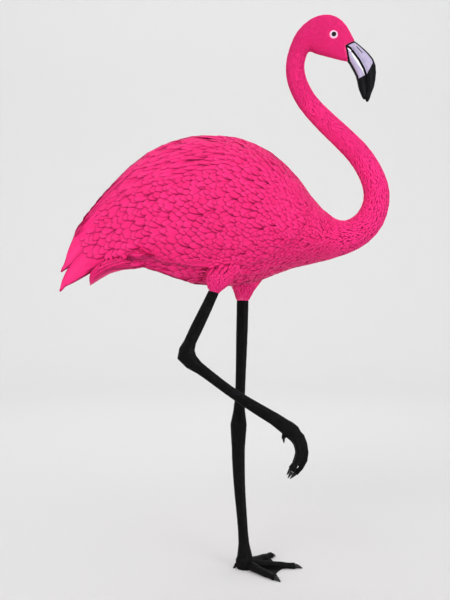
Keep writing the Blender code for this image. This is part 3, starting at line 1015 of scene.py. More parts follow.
@dataclass(frozen=True)
class EyeSize:
    """Where the eyes sit in the head and how large they are."""

    x: float = 0.194
    y: float = 0.0205
    z: float = 1.166
    ball: float = 0.0105
    bulge: float = 0.0008
    cornea: float = 0.0066
    opening: float = 0.0078
    pupil: float = 0.0052
    socket: float = 0.002
    lid: float = 0.0004
    temple: float = 0.015
    cheek: float = 0.016
    reach: float = 0.020
    fade: Flat = (0.019, 0.016)
    rim: Flat = (0.0001, 0.0009)
    finer: Flat = (0.024, 0.016)
    folds: tuple[Place, ...] = (
        (0.0006, 0.0090, 0.0010),
        (-0.0007, 0.0118, 0.0012),
        (0.0004, 0.0140, 0.0014),
    )

    def off(self, points: np.ndarray) -> np.ndarray:
        """How far points are from the eye's middle, seen from the side."""
        return np.hypot(points[:, 0] - self.x, points[:, 2] - self.z)


HEAD_CORNER = (0.18, 1.01)
BILL_CORNER = (0.2197, 1.1448)
BILL_TOP = (0.513, -0.858)
BILL_BASE = (0.965, 0.261)


def ahead_of_face(points: np.ndarray) -> np.ndarray:
    """Measures how far points lie ahead of the edges where feathers end and the bill begins.

    Args:
        points: The points.

    Returns:
        The distances, below 0 among the feathers.
    """
    x, z = points[:, 0] - BILL_CORNER[0], points[:, 2] - BILL_CORNER[1]
    top = x * BILL_TOP[0] + z * BILL_TOP[1]
    base = x * BILL_BASE[0] + z * BILL_BASE[1]
    head = (points[:, 0] > HEAD_CORNER[0]) & (points[:, 2] > HEAD_CORNER[1])
    return np.where(head, np.minimum(top, base), -1.0)


@dataclass
class Flesh:
    """The skin under the feathers, and the outer form that the feathers are laid along."""

    spine: Spine
    eye: EyeSize
    skin_cell: float = 0.0032
    form_cell: float = 0.003
    thickest: float = 0.05
    share: float = 0.4
    lead: float = 0.0005
    thigh_coat: Fade = Fade(0.0010, 0.0085, 0.598, 0.668)
    thigh_box: Place = (-0.10, 0.07, 0.67)
    tucks: tuple[Place, ...] = ((0.0016, -0.0005, 0.0015), (0.003, 0.001, 0.005))
    body: tuple[str, ...] = (
        *("trunk", "wing_left", "wing_right", "neck_lower", "neck_middle"),
        *("neck_upper", "head", "thigh_left", "thigh_right"),
    )
    filled: tuple[str, ...] = (
        *("bill_upper", "bill_lower", "eye_left", "eye_right"),
        *("shank_left", "shank_right"),
    )
    ends: tuple[Cut, ...] = (
        Cut("bill_upper", (0.2477, 0.0, 1.1594), (0.944, 0.0, -0.328)),
        Cut("bill_lower", (0.2477, 0.0, 1.1594), (0.944, 0.0, -0.328)),
        Cut("shank_left", (0.0, 0.0, 0.583), (0.0, 0.0, -1.0)),
        Cut("shank_right", (-0.0685, 0.0, 0.6025), (-0.41, 0.0, -0.912)),
    )
    wing_ends: tuple[Cut, ...] = (
        Cut("wing_left", (-0.255, 0.0, 0.75), (-0.94, 0.0, 0.34)),
        Cut("wing_right", (-0.255, 0.0, 0.75), (-0.94, 0.0, 0.34)),
    )

    def outer_form(self) -> Object:
        """Builds the closed outer form of the plumage, out to the wing and tail tips."""
        nodes = (*self.body, "tail", *self.filled)
        return soften(merged("outer_form", nodes, self.ends, self.form_cell), 3)

    def depths(self, points: np.ndarray) -> np.ndarray:
        """Works out the coat's depth, thinner down the thighs.

        Args:
            points: Points of the outer form.

        Returns:
            The depth at each.
        """
        deep = self.spine.depth(points)
        x, z = points[:, 0], points[:, 2]
        hind, fore, top = self.thigh_box
        on_leg = (x > hind) & (x < fore) & (z < top)
        deep = np.where(on_leg, np.minimum(deep, self.thigh_coat.at(z)), deep)
        ahead = ahead_of_face(points)
        tucked = sum(depth * smooth(ahead, start, end) for depth, start, end in self.tucks)
        return np.maximum(deep, tucked)

    def make_skin(self, finish: SkinFinish) -> Object:
        """Builds the one skin under all the feathers.

        Args:
            finish: What it is dressed in.

        Returns:
            The skin.
        """
        cuts = (*self.ends, *self.wing_ends)
        skin = merged("skin", (*self.body, *self.filled), cuts, self.skin_cell)
        soften(skin, 3)
        points, normals = corners(skin), corner_normals(skin)
        faces = [tuple(p.vertices) for p in skin.data.polygons]
        tree = BVHTree.FromPolygons(points.tolist(), faces)
        starts, ways = (points - normals * self.lead).tolist(), (-normals).tolist()
        found = [tree.ray_cast(p, d, self.thickest)[3] for p, d in zip(starts, ways)]
        thick = np.array([self.thickest if f is None else f for f in found])
        deep = np.minimum(self.depths(points), thick * self.share)
        move_corners(skin, points - normals * deep[:, None])
        soften(skin, 2)
        self._refine_eyes(skin)
        self._set_eyes(skin)
        return dressed(skin, finish.make(self.eye), "short_plumage", *self.body)

    def _refine_eyes(self, skin: Object) -> None:
        """Gives the skin round the eyes smaller faces, for the lids.

        Args:
            skin: The skin.
        """
        mesh = bmesh.new()
        mesh.from_mesh(skin.data)
        middle = (self.eye.x, self.eye.z)
        for reach in self.eye.finer:
            near = {
                v
                for v in mesh.verts
                if math.dist((v.co.x, v.co.z), middle) < reach and abs(v.co.y) > self.eye.temple
            }
            edges = [e for e in mesh.edges if near.issuperset(e.verts)]
            bmesh.ops.subdivide_edges(mesh, edges=edges, cuts=1, use_grid_fill=True, smooth=0.0)
        mesh.to_mesh(skin.data)
        mesh.free()
        skin.data.update()

    def _set_eyes(self, skin: Object) -> None:
        """Opens the sockets and raises the lids round the eyeballs.

        Args:
            skin: The skin.
        """
        eye = self.eye
        points = corners(skin)
        radius = eye.off(points)
        side = np.sign(points[:, 1])
        level = np.abs(points[:, 1])
        near = (radius < eye.reach) & (level > eye.cheek)
        ball = eye.y + np.sqrt(np.maximum(eye.ball**2 - radius**2, 0.0))
        lid = np.maximum(level, ball + eye.lid)
        for height, middle, width in eye.folds:
            lid += height * np.exp(-(((radius - middle) / width) ** 2))
        inside = smooth(radius, eye.opening + eye.rim[0], eye.opening - eye.rim[1])
        raised = np.where(near, lid * (1 - inside) + (eye.y + eye.socket) * inside, level)
        fade = smooth(radius, *eye.fade)
        points[:, 1] = side * np.where(near, raised * fade + level * (1 - fade), level)
        move_corners(skin, points)


# ---------------------------------------------------------------- feathers


class Form:
    """The outer form as the feathers see it: its nearest place, and its soft normals."""

    hollow: Flat = (-0.11, 0.14)
    lead: float = 0.002
    tries: float = 2.6

    def __init__(self, obj: Object) -> None:
        """Reads the form's mesh.

        Args:
            obj: The closed outer form.
        """
        self.points = corners(obj)
        normals = corner_normals(obj)
        self.faces = [tuple(p.vertices) for p in obj.data.polygons]
        self.tree = BVHTree.FromPolygons(self.points.tolist(), self.faces)
        self.normals = unit(np.array([normals[list(f)].mean(axis=0) for f in self.faces]))
        self.middles = np.array([self.points[list(f)].mean(axis=0) for f in self.faces])
        areas = np.array([p.area for p in obj.data.polygons])
        self.areas = np.where(self._in_the_hollow(), 0.0, areas)

    def _in_the_hollow(self) -> np.ndarray:
        """Finds the hollow between the wings, where no feathers grow.

        Returns:
            Whether each face is inside it.
        """
        fore, width = self.hollow
        found = self.middles[:, 0] < fore
        ways = self.normals[found]
        found[found] = self.struck(self.middles[found] + ways * self.lead, ways, width)[0]
        return found

    def nearest(self, points: np.ndarray) -> tuple[np.ndarray, np.ndarray]:
        """Finds the places on the form nearest to some points.

        Args:
            points: The points.

        Returns:
            The places, and the form's normals there.
        """
        find = self.tree.find_nearest
        found = [find(p) for p in points.tolist()]
        places = np.array([f[0] for f in found])
        return places, self.normals[[f[2] for f in found]]

    def struck(
        self, starts: np.ndarray, ways: np.ndarray, reach: float
    ) -> tuple[np.ndarray, np.ndarray]:
        """Where rays strike the form.

        Args:
            starts: Where the rays start.
            ways: Their directions.
            reach: How far they go.

        Returns:
            Which rays struck, and the places struck.
        """
        cast = self.tree.ray_cast
        found = [cast(p, d, reach)[0] for p, d in zip(starts.tolist(), ways.tolist())]
        hit = np.array([place is not None for place in found])
        return hit, np.array([place for place in found if place is not None]).reshape(-1, 3)

    def scattered(self, zone: Zone, gap: Gauge, rng: np.random.Generator) -> np.ndarray:
        """Points strewn evenly over part of the form.

        Args:
            zone: Which points, with their normals, belong to that part.
            gap: The least distance from a point to its neighbours.
            rng: Where chance comes from.

        Returns:
            The points.
        """
        inside = zone(self.middles, self.normals)
        crowd = np.where(inside, self.areas / gap(self.middles) ** 2, 0.0)
        count = int(crowd.sum() * self.tries)
        chosen = rng.choice(len(crowd), size=count, p=crowd / crowd.sum())
        a, b, c, d = (self.points[[self.faces[i][k] for i in chosen]] for k in (0, 1, 2, -1))
        u, v = rng.random((2, len(chosen), 1))
        tries = (a * (1 - u) + b * u) * (1 - v) + (d * (1 - u) + c * u) * v
        least = gap(tries)
        cells: dict[tuple[int, int, int], list[list[float]]] = {}
        kept: list[int] = []
        around = [(i, j, k) for i in (-1, 0, 1) for j in (-1, 0, 1) for k in (-1, 0, 1)]
        keys = np.floor(tries / least.max()).astype(int).tolist()
        for i, ((kx, ky, kz), spot) in enumerate(zip(keys, tries.tolist())):
            near = (q for x, y, z in around for q in cells.get((kx + x, ky + y, kz + z), ()))
            if all(math.dist(q, spot) >= least[i] for q in near):
                kept.append(i)
                cells.setdefault((kx, ky, kz), []).append(spot)
        return tries[kept]


def even(size: float) -> Gauge:
    """The same number for every point."""
    return lambda points: np.full(len(points), size)


@dataclass(frozen=True)
class Cutout:
    """The outline and the faces of one kind of feather."""

    places: tuple[float, ...]
    widths: tuple[float, ...]
    columns: int
    thickness: float = 0.0003
    camber: float = 0.07

    def faces(self) -> np.ndarray:
        """Works out the triangles of one closed blade.

        Returns:
            Three vertex numbers for each triangle.
        """
        c, rows = self.columns, len(self.widths) - 1
        found: list[tuple[int, int, int]] = []
        for k in range(rows):
            a, b = k * (c + 1), (k + 1) * (c + 1)
            for j in range(c):
                found += [(a + j, b + j, b + j + 1), (a + j, b + j + 1, a + j + 1)]
            found += [(a, a + c, b + c), (a, b + c, b)]
        last = rows * (c + 1)
        for j in range(1, c):
            found += [(0, j, j + 1), (last, last + j + 1, last + j)]
        return np.array(found)


CONTOUR = Cutout(
    (0.0, 0.3, 0.58, 0.77, 0.90, 1.0),
    (0.45, 0.88, 1.0, 0.87, 0.58, 0.12),
    4,
    0.00022,
    0.05,
)
TUFT = Cutout((0.0, 0.5, 1.0), (0.55, 1.0, 0.28), 2)
LOCK = Cutout((0.0, 0.35, 0.72, 1.0), (0.45, 0.9, 1.0, 0.3), 2)
QUILL = Cutout(
    (0.0, 0.12, 0.24, 0.36, 0.48, 0.60, 0.70, 0.79, 0.87, 0.93, 0.97, 1.0),
    (0.5, 0.8, 0.95, 1.0, 1.0, 1.0, 0.97, 0.88, 0.72, 0.52, 0.32, 0.08),
    6,
    0.0006,
)
LANCE = Cutout(
    (0.0, 0.2, 0.4, 0.58, 0.74, 0.86, 0.95, 1.0),
    (0.5, 0.85, 1.0, 0.97, 0.82, 0.6, 0.34, 0.1),
    4,
    0.0004,
)


@dataclass
class Bed:
    """What feathers are laid with: the outer form, the bird's line, their lie, and chance."""

    form: Form
    spine: Spine
    lie: Zone
    rng: np.random.Generator


@dataclass
class Coat:
    """Feathers of one kind laid over part of the outer form.

    Where the form turns away from a feather by more than its bend at one step, or by more
    than its curl since its root, the feather runs straight on past the rim.
    """

    name: str
    cutout: Cutout
    slot: str = "plumage"
    sway: float = 0.12
    lift: float = 0.0
    bend: float = 0.6
    curl: float = 0.35

    def lay(
        self,
        bed: Bed,
        roots: np.ndarray,
        length: np.ndarray,
        width: np.ndarray,
        finish: Material,
        depth: np.ndarray | None = None,
    ) -> Object:
        """Lays a feather from each root along the form.

        Args:
            bed: What the feathers are laid with.
            roots: Where they start.
            length: How long each is.
            width: How wide each is.
            finish: What they are dressed in.
            depth: How far under the form each root is, if that isn't the coat's depth.

        Returns:
            The coat.
        """
        turn = bed.rng.normal(0.0, self.sway, (len(roots), 1))
        here, (_, first) = roots, bed.form.nearest(roots)
        last = first
        middle, up, ahead = [], [], []
        for share in np.diff(self.cutout.places, append=1.0):
            place, normal = bed.form.nearest(here)
            past_rim = (dot(normal, last) < self.bend) | (dot(normal, first) < self.curl)
            here = np.where(past_rim[:, None], here, place)
            last = np.where(past_rim[:, None], last, normal)
            way = bed.lie(here, last)
            way = unit(way * np.cos(turn) + np.cross(last, way) * np.sin(turn))
            middle.append(here)
            up.append(last)
            ahead.append(way)
            here = here + way * (length * share)[:, None]
        if depth is None:
            depth = bed.spine.depth(roots)
        lines = [np.stack(rows, axis=1) for rows in (middle, up, ahead)]
        return self.build(bed, roots, lines, width, depth, finish)

    def build(
        self,
        bed: Bed,
        roots: np.ndarray,
        lines: Sequence[np.ndarray],
        width: np.ndarray,
        depth: np.ndarray,
        finish: Material,
    ) -> Object:
        """Builds the blades round their middle lines.

        Args:
            bed: What the feathers are laid with.
            roots: Where they start, for their places on the unwrap of the skin.
            lines: Their middle lines, one row of points to a feather, and the normals and
                the directions along them.
            width: How wide each is.
            depth: How deep each root lies.
            finish: What they are dressed in.

        Returns:
            The coat.
        """
        cut = self.cutout
        middle, up, ahead = lines
        count, rows = middle.shape[:2]
        t = np.array(cut.places)[None, :, None]
        across = np.linspace(-1.0, 1.0, cut.columns + 1)[None, None, :]
        half = width[:, None, None] / 2 * np.array(cut.widths)[None, :, None]
        side = np.cross(up, ahead)
        height = -depth[:, None, None] * (1 - t) ** 2 + self.lift * t**2
        height = height + cut.thickness * (1 - across**2) - cut.camber * half * across**2
        points = (
            middle[:, :, None, :]
            + side[:, :, None, :] * (half * across)[..., None]
            + up[:, :, None, :] * height[..., None]
        )
        each = rows * (cut.columns + 1)
        faces = cut.faces()[None] + (np.arange(count) * each)[:, None, None]
        obj = triangles_object(self.name, points.reshape(-1, 3), faces.reshape(-1, 3))
        u = np.broadcast_to((across + 1) / 2, (count, rows, cut.columns + 1))
        v = np.broadcast_to(t, u.shape)
        vane = np.stack([u, v], axis=-1).reshape(-1, 2)
        add_map(obj, VANE_MAP, vane)
        spots = bed.spine.unwrapped(roots)
        low, high = spots.min(axis=0), spots.max(axis=0)
        spots = MARGIN + (1 - 2 * MARGIN) * (spots - low) / np.maximum(high - low, 1e-6)
        patch = spots[:, None, :] + (vane.reshape(count, each, 2) - 0.5) * PATCH
        add_map(obj, BAKE_MAP, patch.reshape(-1, 2))
        add_number(obj, "tone", np.repeat(bed.rng.random(count), each))
        log.info("%s: %d feathers, %d triangles", self.name, count, len(obj.data.polygons))
        return dressed(obj, finish, self.slot)


@dataclass
class Limb:
    """The line down a thigh, which its feathers follow."""

    line: tuple[Place, ...]

    def measure(self, points: np.ndarray) -> tuple[np.ndarray, np.ndarray, np.ndarray]:
        """Sets points against the line.

        Args:
            points: The points.

        Returns:
            How far off each is, how far down from 0 to 1, and the direction there.
        """
        line = np.array(self.line)
        reach = reaches(line)
        off, i, t = nearest_on(points, line)
        down = reach[i] + t * (reach[i + 1] - reach[i])
        return off, down / reach[-1], unit(np.diff(line, axis=0))[i]


@dataclass(frozen=True)
class Stretch:
    """Short feathers between two stations of the bird: their gap, length and width."""

    name: str
    cutout: Cutout
    start: str
    end: str
    gap: float
    length: float
    width: float


@dataclass(frozen=True)
class Steady:
    """How a vane is kept from falling into a gap: how far out it lies changes little at a time.

    A vane starts at least this far out, or else at the distance given instead. A point lies
    between a share of the last one's distance, less a dip, and that distance plus a jump.
    Any other point gets a little less than the last one's distance.
    """

    least: float = 0.02
    instead: float = 0.05
    share: float = 0.55
    dip: float = 0.004
    jump: float = 0.014
    step: float = 0.96


@dataclass
class Plumage:
    """All the feathers: face, neck, breast, back, wings, thighs, plumes and tail."""

    spine: Spine
    form: Form
    eye: EyeSize
    rng: np.random.Generator
    stretches: tuple[Stretch, ...] = (
        Stretch("coat_head", TUFT, "nape", "", 0.00155, 0.0050, 0.0022),
        Stretch("coat_neck_upper", TUFT, "under_nape", "nape", 0.0019, 0.0075, 0.0028),
        Stretch("coat_neck_middle", LOCK, "slope_low", "under_nape", 0.0022, 0.0095, 0.0034),
        Stretch("coat_neck_lower", LOCK, "neck_root", "slope_low", 0.0029, 0.0130, 0.0048),
    )
    thighs: tuple[Limb, ...] = (
        Limb(
            (
                *((0.006, 0.042, 0.70), (0.005, 0.046, 0.6545)),
                *((0.0, 0.045, 0.606), (-0.002, 0.044, 0.588)),
            )
        ),
        Limb(
            (
                *((-0.021, -0.041, 0.728), (-0.032, -0.046, 0.6795)),
                *((-0.059, -0.053, 0.624), (-0.067, -0.053, 0.606)),
            )
        ),
    )
    wing_edge: tuple[Flat, ...] = (
        *((0.134, 0.784), (0.123, 0.826), (0.090, 0.864), (0.040, 0.897), (-0.020, 0.921)),
        *((-0.086, 0.945), (-0.185, 0.975), (-0.330, 0.90), (-0.45, 0.70), (-0.45, 0.60)),
        *((-0.372, 0.630), (-0.299, 0.675), (-0.202, 0.678), (-0.086, 0.654), (-0.020, 0.656)),
        *((0.040, 0.674), (0.090, 0.707), (0.123, 0.744)),
    )
    lengths: tuple[tuple[str, float], ...] = (
        *(("drape", 0.060), ("saddle", 0.053), ("shoulder", 0.044)),
        *(("breast", 0.032), ("neck_root", 0.0185)),
    )
    back: tuple[Flat, ...] = ((-0.24, 0.838), (-0.12, 0.855), (0.0, 0.87), (0.05, 0.895))
    back_box: Flat = (-0.245, 0.045)
    neck_base: Flat = (0.128, 0.775)
    thigh_gap: float = 0.0032
    thigh_blend: Flat = (0.036, 0.028)
    thigh_start: Flat = (0.672, 0.655)
    thigh_reach: float = 0.034
    thigh_top: float = 0.652
    thigh_size: Fade = Fade(0.0135, -0.006, 0.65, 0.60)
    thigh_depth: Fade = Fade(0.001, 0.0045, 0.598, 0.655)
    thigh_slimness: float = 0.40
    by_thigh: tuple[Flat, Flat] = ((0.070, 0.036), (0.705, 0.670))
    garter: Flat = (0.93, 0.03)
    short_sway: float = 0.14
    short_spread: Flat = (0.85, 1.15)
    spread: Flat = (0.9, 1.1)
    ends: float = 0.012
    hind_rim: float = 0.75
    long_start: float = -0.02
    gap_share: Fade = Fade(0.185, -0.045, 0.075, 0.040)
    front: float = 0.02
    body_sway: float = 0.06
    slimness: float = 0.42
    scapular_gap: float = 0.0097
    scapular_lengths: tuple[Flat, ...] = ((-0.25, 0.105), (0.0, 0.070), (0.05, 0.045))
    scapular_slimness: float = 0.22
    quill_depth: float = 0.005
    fan_start: float = 0.3
    fan_flare: Flat = (0.8, 0.45)
    fan_steady: Steady = Steady()
    bare_ring: float = 0.0102
    face_edge: float = -0.0006

    def __post_init__(self) -> None:
        """Keeps what every coat is laid with."""
        self.bed = Bed(self.form, self.spine, self.lie, self.rng)

    def lie(self, points: np.ndarray, normals: np.ndarray) -> np.ndarray:
        """Finds the way that feathers point: towards the tail, and down the thighs.

        Args:
            points: Where.
            normals: The form's normals there.

        Returns:
            The directions.
        """
        way = self.spine.backwards(points)
        for thigh in self.thighs:
            gap, _, down = thigh.measure(points)
            share = smooth(gap, *self.thigh_blend) * smooth(points[:, 2], *self.thigh_start)
            way = way * (1 - share[:, None]) + down * share[:, None]
        return square_to(way, normals)

    def on_thigh(self, points: np.ndarray) -> np.ndarray:
        """Whether points belong to a thigh."""
        near = [thigh.measure(points)[0] < self.thigh_reach for thigh in self.thighs]
        return (points[:, 2] < self.thigh_top) & np.any(near, axis=0)

    def on_wing(self, points: np.ndarray) -> np.ndarray:
        """Tells whether points lie inside the folded wing's outline, seen from the side.

        Args:
            points: The points.

        Returns:
            Whether each does.
        """
        x, z = points[:, 0], points[:, 2]
        inside = np.zeros(len(points), dtype=bool)
        edge = self.wing_edge
        for (ax, az), (bx, bz) in zip(edge, edge[1:] + edge[:1]):
            crosses = (az > z) != (bz > z)
            at = ax + (z - az) / np.where(bz == az, 1e-9, bz - az) * (bx - ax)
            inside ^= crosses & (x < at)
        return inside

    def bare(self, points: np.ndarray) -> np.ndarray:
        """Whether points lie on the bare face: round the eyes and on the bill's base."""
        return (self.eye.off(points) < self.bare_ring) | (ahead_of_face(points) > self.face_edge)

    def below_garter(self, points: np.ndarray) -> np.ndarray:
        """Tells whether points are past the lower end of a thigh's feathers.

        Args:
            points: The points.

        Returns:
            Whether each is.
        """
        end, reach = self.garter
        past = np.zeros(len(points), dtype=bool)
        for thigh in self.thighs:
            gap, down, _ = thigh.measure(points)
            past |= (gap < reach) & (down > end)
        return past

    def make_short(self, finish: Material) -> list[Object]:
        """Lays the small feathers of face, neck and thighs.

        Args:
            finish: What they are dressed in.

        Returns:
            The coats.
        """
        laid = []
        for stretch in self.stretches:
            roots = self.form.scattered(self._between(stretch), even(stretch.gap), self.rng)
            size = self.rng.uniform(*self.short_spread, len(roots))
            coat = Coat(stretch.name, stretch.cutout, "short_plumage", self.short_sway)
            long, wide = stretch.length * size, stretch.width * size
            laid.append(coat.lay(self.bed, roots, long, wide, finish))

        def on_leg(points: np.ndarray, _: np.ndarray) -> np.ndarray:
            """Whether points lie on a thigh above its lower end."""
            return self.on_thigh(points) & ~self.below_garter(points)

        roots = self.form.scattered(on_leg, even(self.thigh_gap), self.rng)
        short = self.thigh_size.at(roots[:, 2])
        long, wide = short * self.rng.uniform(*self.spread, len(roots)), short * self.thigh_slimness
        deep = np.minimum(self.spine.depth(roots), self.thigh_depth.at(roots[:, 2]))
        coat = Coat("coat_thighs", LOCK, "short_plumage", self.short_sway)
        laid.append(coat.lay(self.bed, roots, long, wide, finish, deep))
        return laid

    def _between(self, stretch: Stretch) -> Zone:
        """Bounds one stretch of short feathers, clear of the bare face.

        Args:
            stretch: The stretch.

        Returns:
            Its zone.
        """
        low = self.spine.at(stretch.start)
        high = self.spine.at(stretch.end) if stretch.end else math.inf

        def zone(points: np.ndarray, _: np.ndarray) -> np.ndarray:
            """Whether points lie in it."""
            at = self.spine.locate(points)
            return (at >= low) & (at < high) & ~self.bare(points)

        return zone

    def size(self, points: np.ndarray) -> np.ndarray:
        """Works out how long contour feathers are: small on the breast, long over the rump.

        Args:
            points: Their roots.

        Returns:
            The lengths.
        """
        at = [self.spine.at(name) for name, _ in self.lengths]
        long = np.interp(self.spine.locate(points), at, [size for _, size in self.lengths])
        away = np.min([t.measure(points)[0] for t in self.thighs], axis=0)
        near, low = self.by_thigh
        return long * (1 - 0.5 * (smooth(away, *near) * smooth(points[:, 2], *low)))

    def on_back(self, points: np.ndarray) -> np.ndarray:
        """Tells whether points lie where the scapulars grow.

        Args:
            points: The points.

        Returns:
            Whether each does.
        """
        x, z = points[:, 0], points[:, 2]
        hind, fore = self.back_box
        return (x > hind) & (x < fore) & (z > np.interp(x, *zip(*self.back)))

    def make_body(self, finish: Material) -> list[Object]:
        """Lays the contour feathers of breast, belly, back and wings.

        Args:
            finish: What they are dressed in.

        Returns:
            The coats.
        """
        spine = self.spine
        start, end = spine.at("drape") - self.ends, spine.at("neck_root") + self.ends

        def on_body(points: np.ndarray, normals: np.ndarray) -> np.ndarray:
            """Tells whether points lie on the body, off thighs, scapulars and hind rims.

            Args:
                points: The points.
                normals: The form's normals there.

            Returns:
                Whether each does.
            """
            at = spine.locate(points)
            rim = dot(spine.backwards(points), normals) > self.hind_rim
            long = self.on_back(points) & (points[:, 0] < self.long_start)
            return (at > start) & (at < end) & ~self.on_thigh(points) & ~long & ~rim

        def gap(points: np.ndarray) -> np.ndarray:
            """Sets the gap between roots, least where the lie turns at the neck's base.

            Args:
                points: Where.

            Returns:
                The gaps.
            """
            x, z = self.neck_base
            turn = np.hypot(points[:, 0] - x, points[:, 2] - z)
            return self.size(points) * self.gap_share.at(turn)

        roots = self.form.scattered(on_body, gap, self.rng)
        sizes = self.size(roots)
        wing, front, left = self.on_wing(roots), roots[:, 0] > self.front, roots[:, 1] > 0
        zones = {
            "coat_breast": ~wing & front,
            "coat_belly": ~wing & ~front,
            "coat_wing_left": wing & left,
            "coat_wing_right": wing & ~left,
        }
        laid = []
        for name, zone in zones.items():
            size = sizes[zone] * self.rng.uniform(*self.spread, zone.sum())
            coat = Coat(name, CONTOUR, "plumage", self.body_sway)
            laid.append(coat.lay(self.bed, roots[zone], size, size * self.slimness, finish))
        return laid

    def _lay_fans(self, fans: Sequence["Fan"]) -> list[np.ndarray]:
        """Lays the vanes of some fans against both wings.

        Args:
            fans: The fans.

        Returns:
            The middle lines, their normals, the widths, and each vane's side.
        """
        out, steady = self.fan_start, self.fan_steady
        found = [fan.vanes(QUILL.places) for fan in fans]
        flat, width, inset = (np.concatenate(rows) for rows in zip(*found))
        x, z = flat[..., 0], flat[..., 1]
        middles, ups, sides = [], [], []
        for side in (1.0, -1.0):
            starts = np.stack([x, np.full(x.shape, side * out), z], axis=-1).reshape(-1, 3)
            ways = np.broadcast_to((0.0, -side, 0.0), starts.shape)
            hit, places = self.form.struck(starts, ways, out * 2)
            level = np.full(len(hit), np.nan)
            level[hit] = places[:, 1] * side
            level = level.reshape(x.shape)
            last = np.where(level[:, 0] > steady.least, level[:, 0], steady.instead)
            for row in level.T:
                kept = (row > last * steady.share - steady.dip) & (row < last + steady.jump)
                row[:] = np.where(kept, row, last * steady.step)
                last = row
            for _ in range(2):
                level[:, 1:-1] = (level[:, :-2] + 2 * level[:, 1:-1] + level[:, 2:]) / 4
            middle = np.stack([x, level * side, z], axis=-1)
            _, normal = self.form.nearest(middle.reshape(-1, 3))
            flare = np.array((0.0, side * self.fan_flare[1], 0.0))
            up = unit(normal.reshape(middle.shape) * self.fan_flare[0] + flare)
            middles.append(middle - up * inset[:, None, None])
            ups.append(up)
            sides.append(np.full(len(width), side))
        return [np.vstack(middles), np.vstack(ups), np.tile(width, 2), np.concatenate(sides)]

    def make_long(self, finish: Material) -> list[Object]:
        """Lays the wings' long plumes and quills, the scapulars and the tail.

        Args:
            finish: What they are dressed in.

        Returns:
            The coats.
        """
        middle, up, width, side = self._lay_fans(WING_FANS)
        laid = []
        for name, which in (("quills_wing_left", side > 0), ("quills_wing_right", side < 0)):
            roots = middle[which][:, 0]
            ahead = unit(np.gradient(middle[which], axis=1))
            lines = (middle[which], square_to(up[which], ahead), ahead)
            deep = np.full(len(roots), self.quill_depth)
            quills = Coat(name, QUILL)
            laid.append(quills.build(self.bed, roots, lines, width[which], deep, finish))
        roots = self.form.scattered(lambda p, _: self.on_back(p), even(self.scapular_gap), self.rng)
        long = np.interp(roots[:, 0], *zip(*self.scapular_lengths))
        long = long * self.rng.uniform(*self.spread, len(roots))
        scapulars = Coat("scapulars", LANCE, sway=0.05, lift=0.0006)
        laid.append(scapulars.lay(self.bed, roots, long, long * self.scapular_slimness, finish))
        laid.append(Tail().make(self.bed, finish))
        return laid


@dataclass(frozen=True)
class Fan:
    """A fan of long vanes between two curves, seen from the side."""

    upper: tuple[Flat, ...]
    lower: tuple[Flat, ...]
    count: int
    reach: Flat
    width: float
    inset: Flat
    steps: int = 60
    evening: int = 40

    def vanes(self, places: Sequence[float]) -> tuple[np.ndarray, np.ndarray, np.ndarray]:
        """The middle lines of the vanes, their widths and how deep they lie.

        Args:
            places: Where along a vane its points are.

        Returns:
            The lines, the widths and the depths.
        """
        curves = []
        for curve in (np.array(self.upper), np.array(self.lower)):
            reach = reaches(curve)
            at = np.linspace(0.0, 1.0, self.steps) * reach[-1]
            curve = np.stack([np.interp(at, reach, c) for c in curve.T], axis=-1)
            for _ in range(self.evening):
                curve[1:-1] = (curve[:-2] + 2 * curve[1:-1] + curve[2:]) / 4
            curves.append(curve)
        share = np.linspace(0.0, 1.0, self.count)
        ends = np.interp(share, (0.0, 1.0), self.reach)
        steps = np.arange(self.steps)
        lines = []
        for s, end in zip(share, ends):
            line = curves[0] * (1 - s) + curves[1] * s
            at = np.array(places) * end * steps[-1]
            lines.append(np.stack([np.interp(at, steps, c) for c in line.T], axis=-1))
        depths = np.interp(share, (0.0, 1.0), self.inset)
        return np.array(lines), np.full(self.count, self.width), depths


WING_FANS = (
    Fan(
        (
            *((-0.12, 0.775), (-0.20, 0.762), (-0.27, 0.737), (-0.32, 0.709)),
            *((-0.36, 0.680), (-0.388, 0.646), (-0.4055, 0.608)),
        ),
        (
            *((-0.10, 0.710), (-0.17, 0.703), (-0.24, 0.697), (-0.30, 0.684)),
            *((-0.345, 0.659), (-0.380, 0.633), (-0.4045, 0.608)),
        ),
        8,
        (1.0, 0.94),
        0.024,
        (0.0022, 0.0026),
    ),
    Fan(
        (
            *((-0.15, 0.915), (-0.22, 0.885), (-0.285, 0.828)),
            *((-0.335, 0.772), (-0.374, 0.712), (-0.402, 0.655)),
        ),
        (
            *((-0.13, 0.800), (-0.21, 0.792), (-0.275, 0.765)),
            *((-0.325, 0.733), (-0.365, 0.697), (-0.4025, 0.6505)),
        ),
        9,
        (0.93, 1.0),
        0.026,
        (0.0004, 0.0020),
    ),
    Fan(
        (
            *((0.00, 0.715), (-0.06, 0.697), (-0.12, 0.684)),
            *((-0.18, 0.684), (-0.25, 0.690), (-0.31, 0.678)),
        ),
        (
            *((0.04, 0.700), (-0.01, 0.680), (-0.05, 0.668)),
            *((-0.09, 0.667), (-0.13, 0.672), (-0.17, 0.680)),
        ),
        9,
        (1.0, 1.0),
        0.021,
        (0.0030, 0.0016),
    ),
)


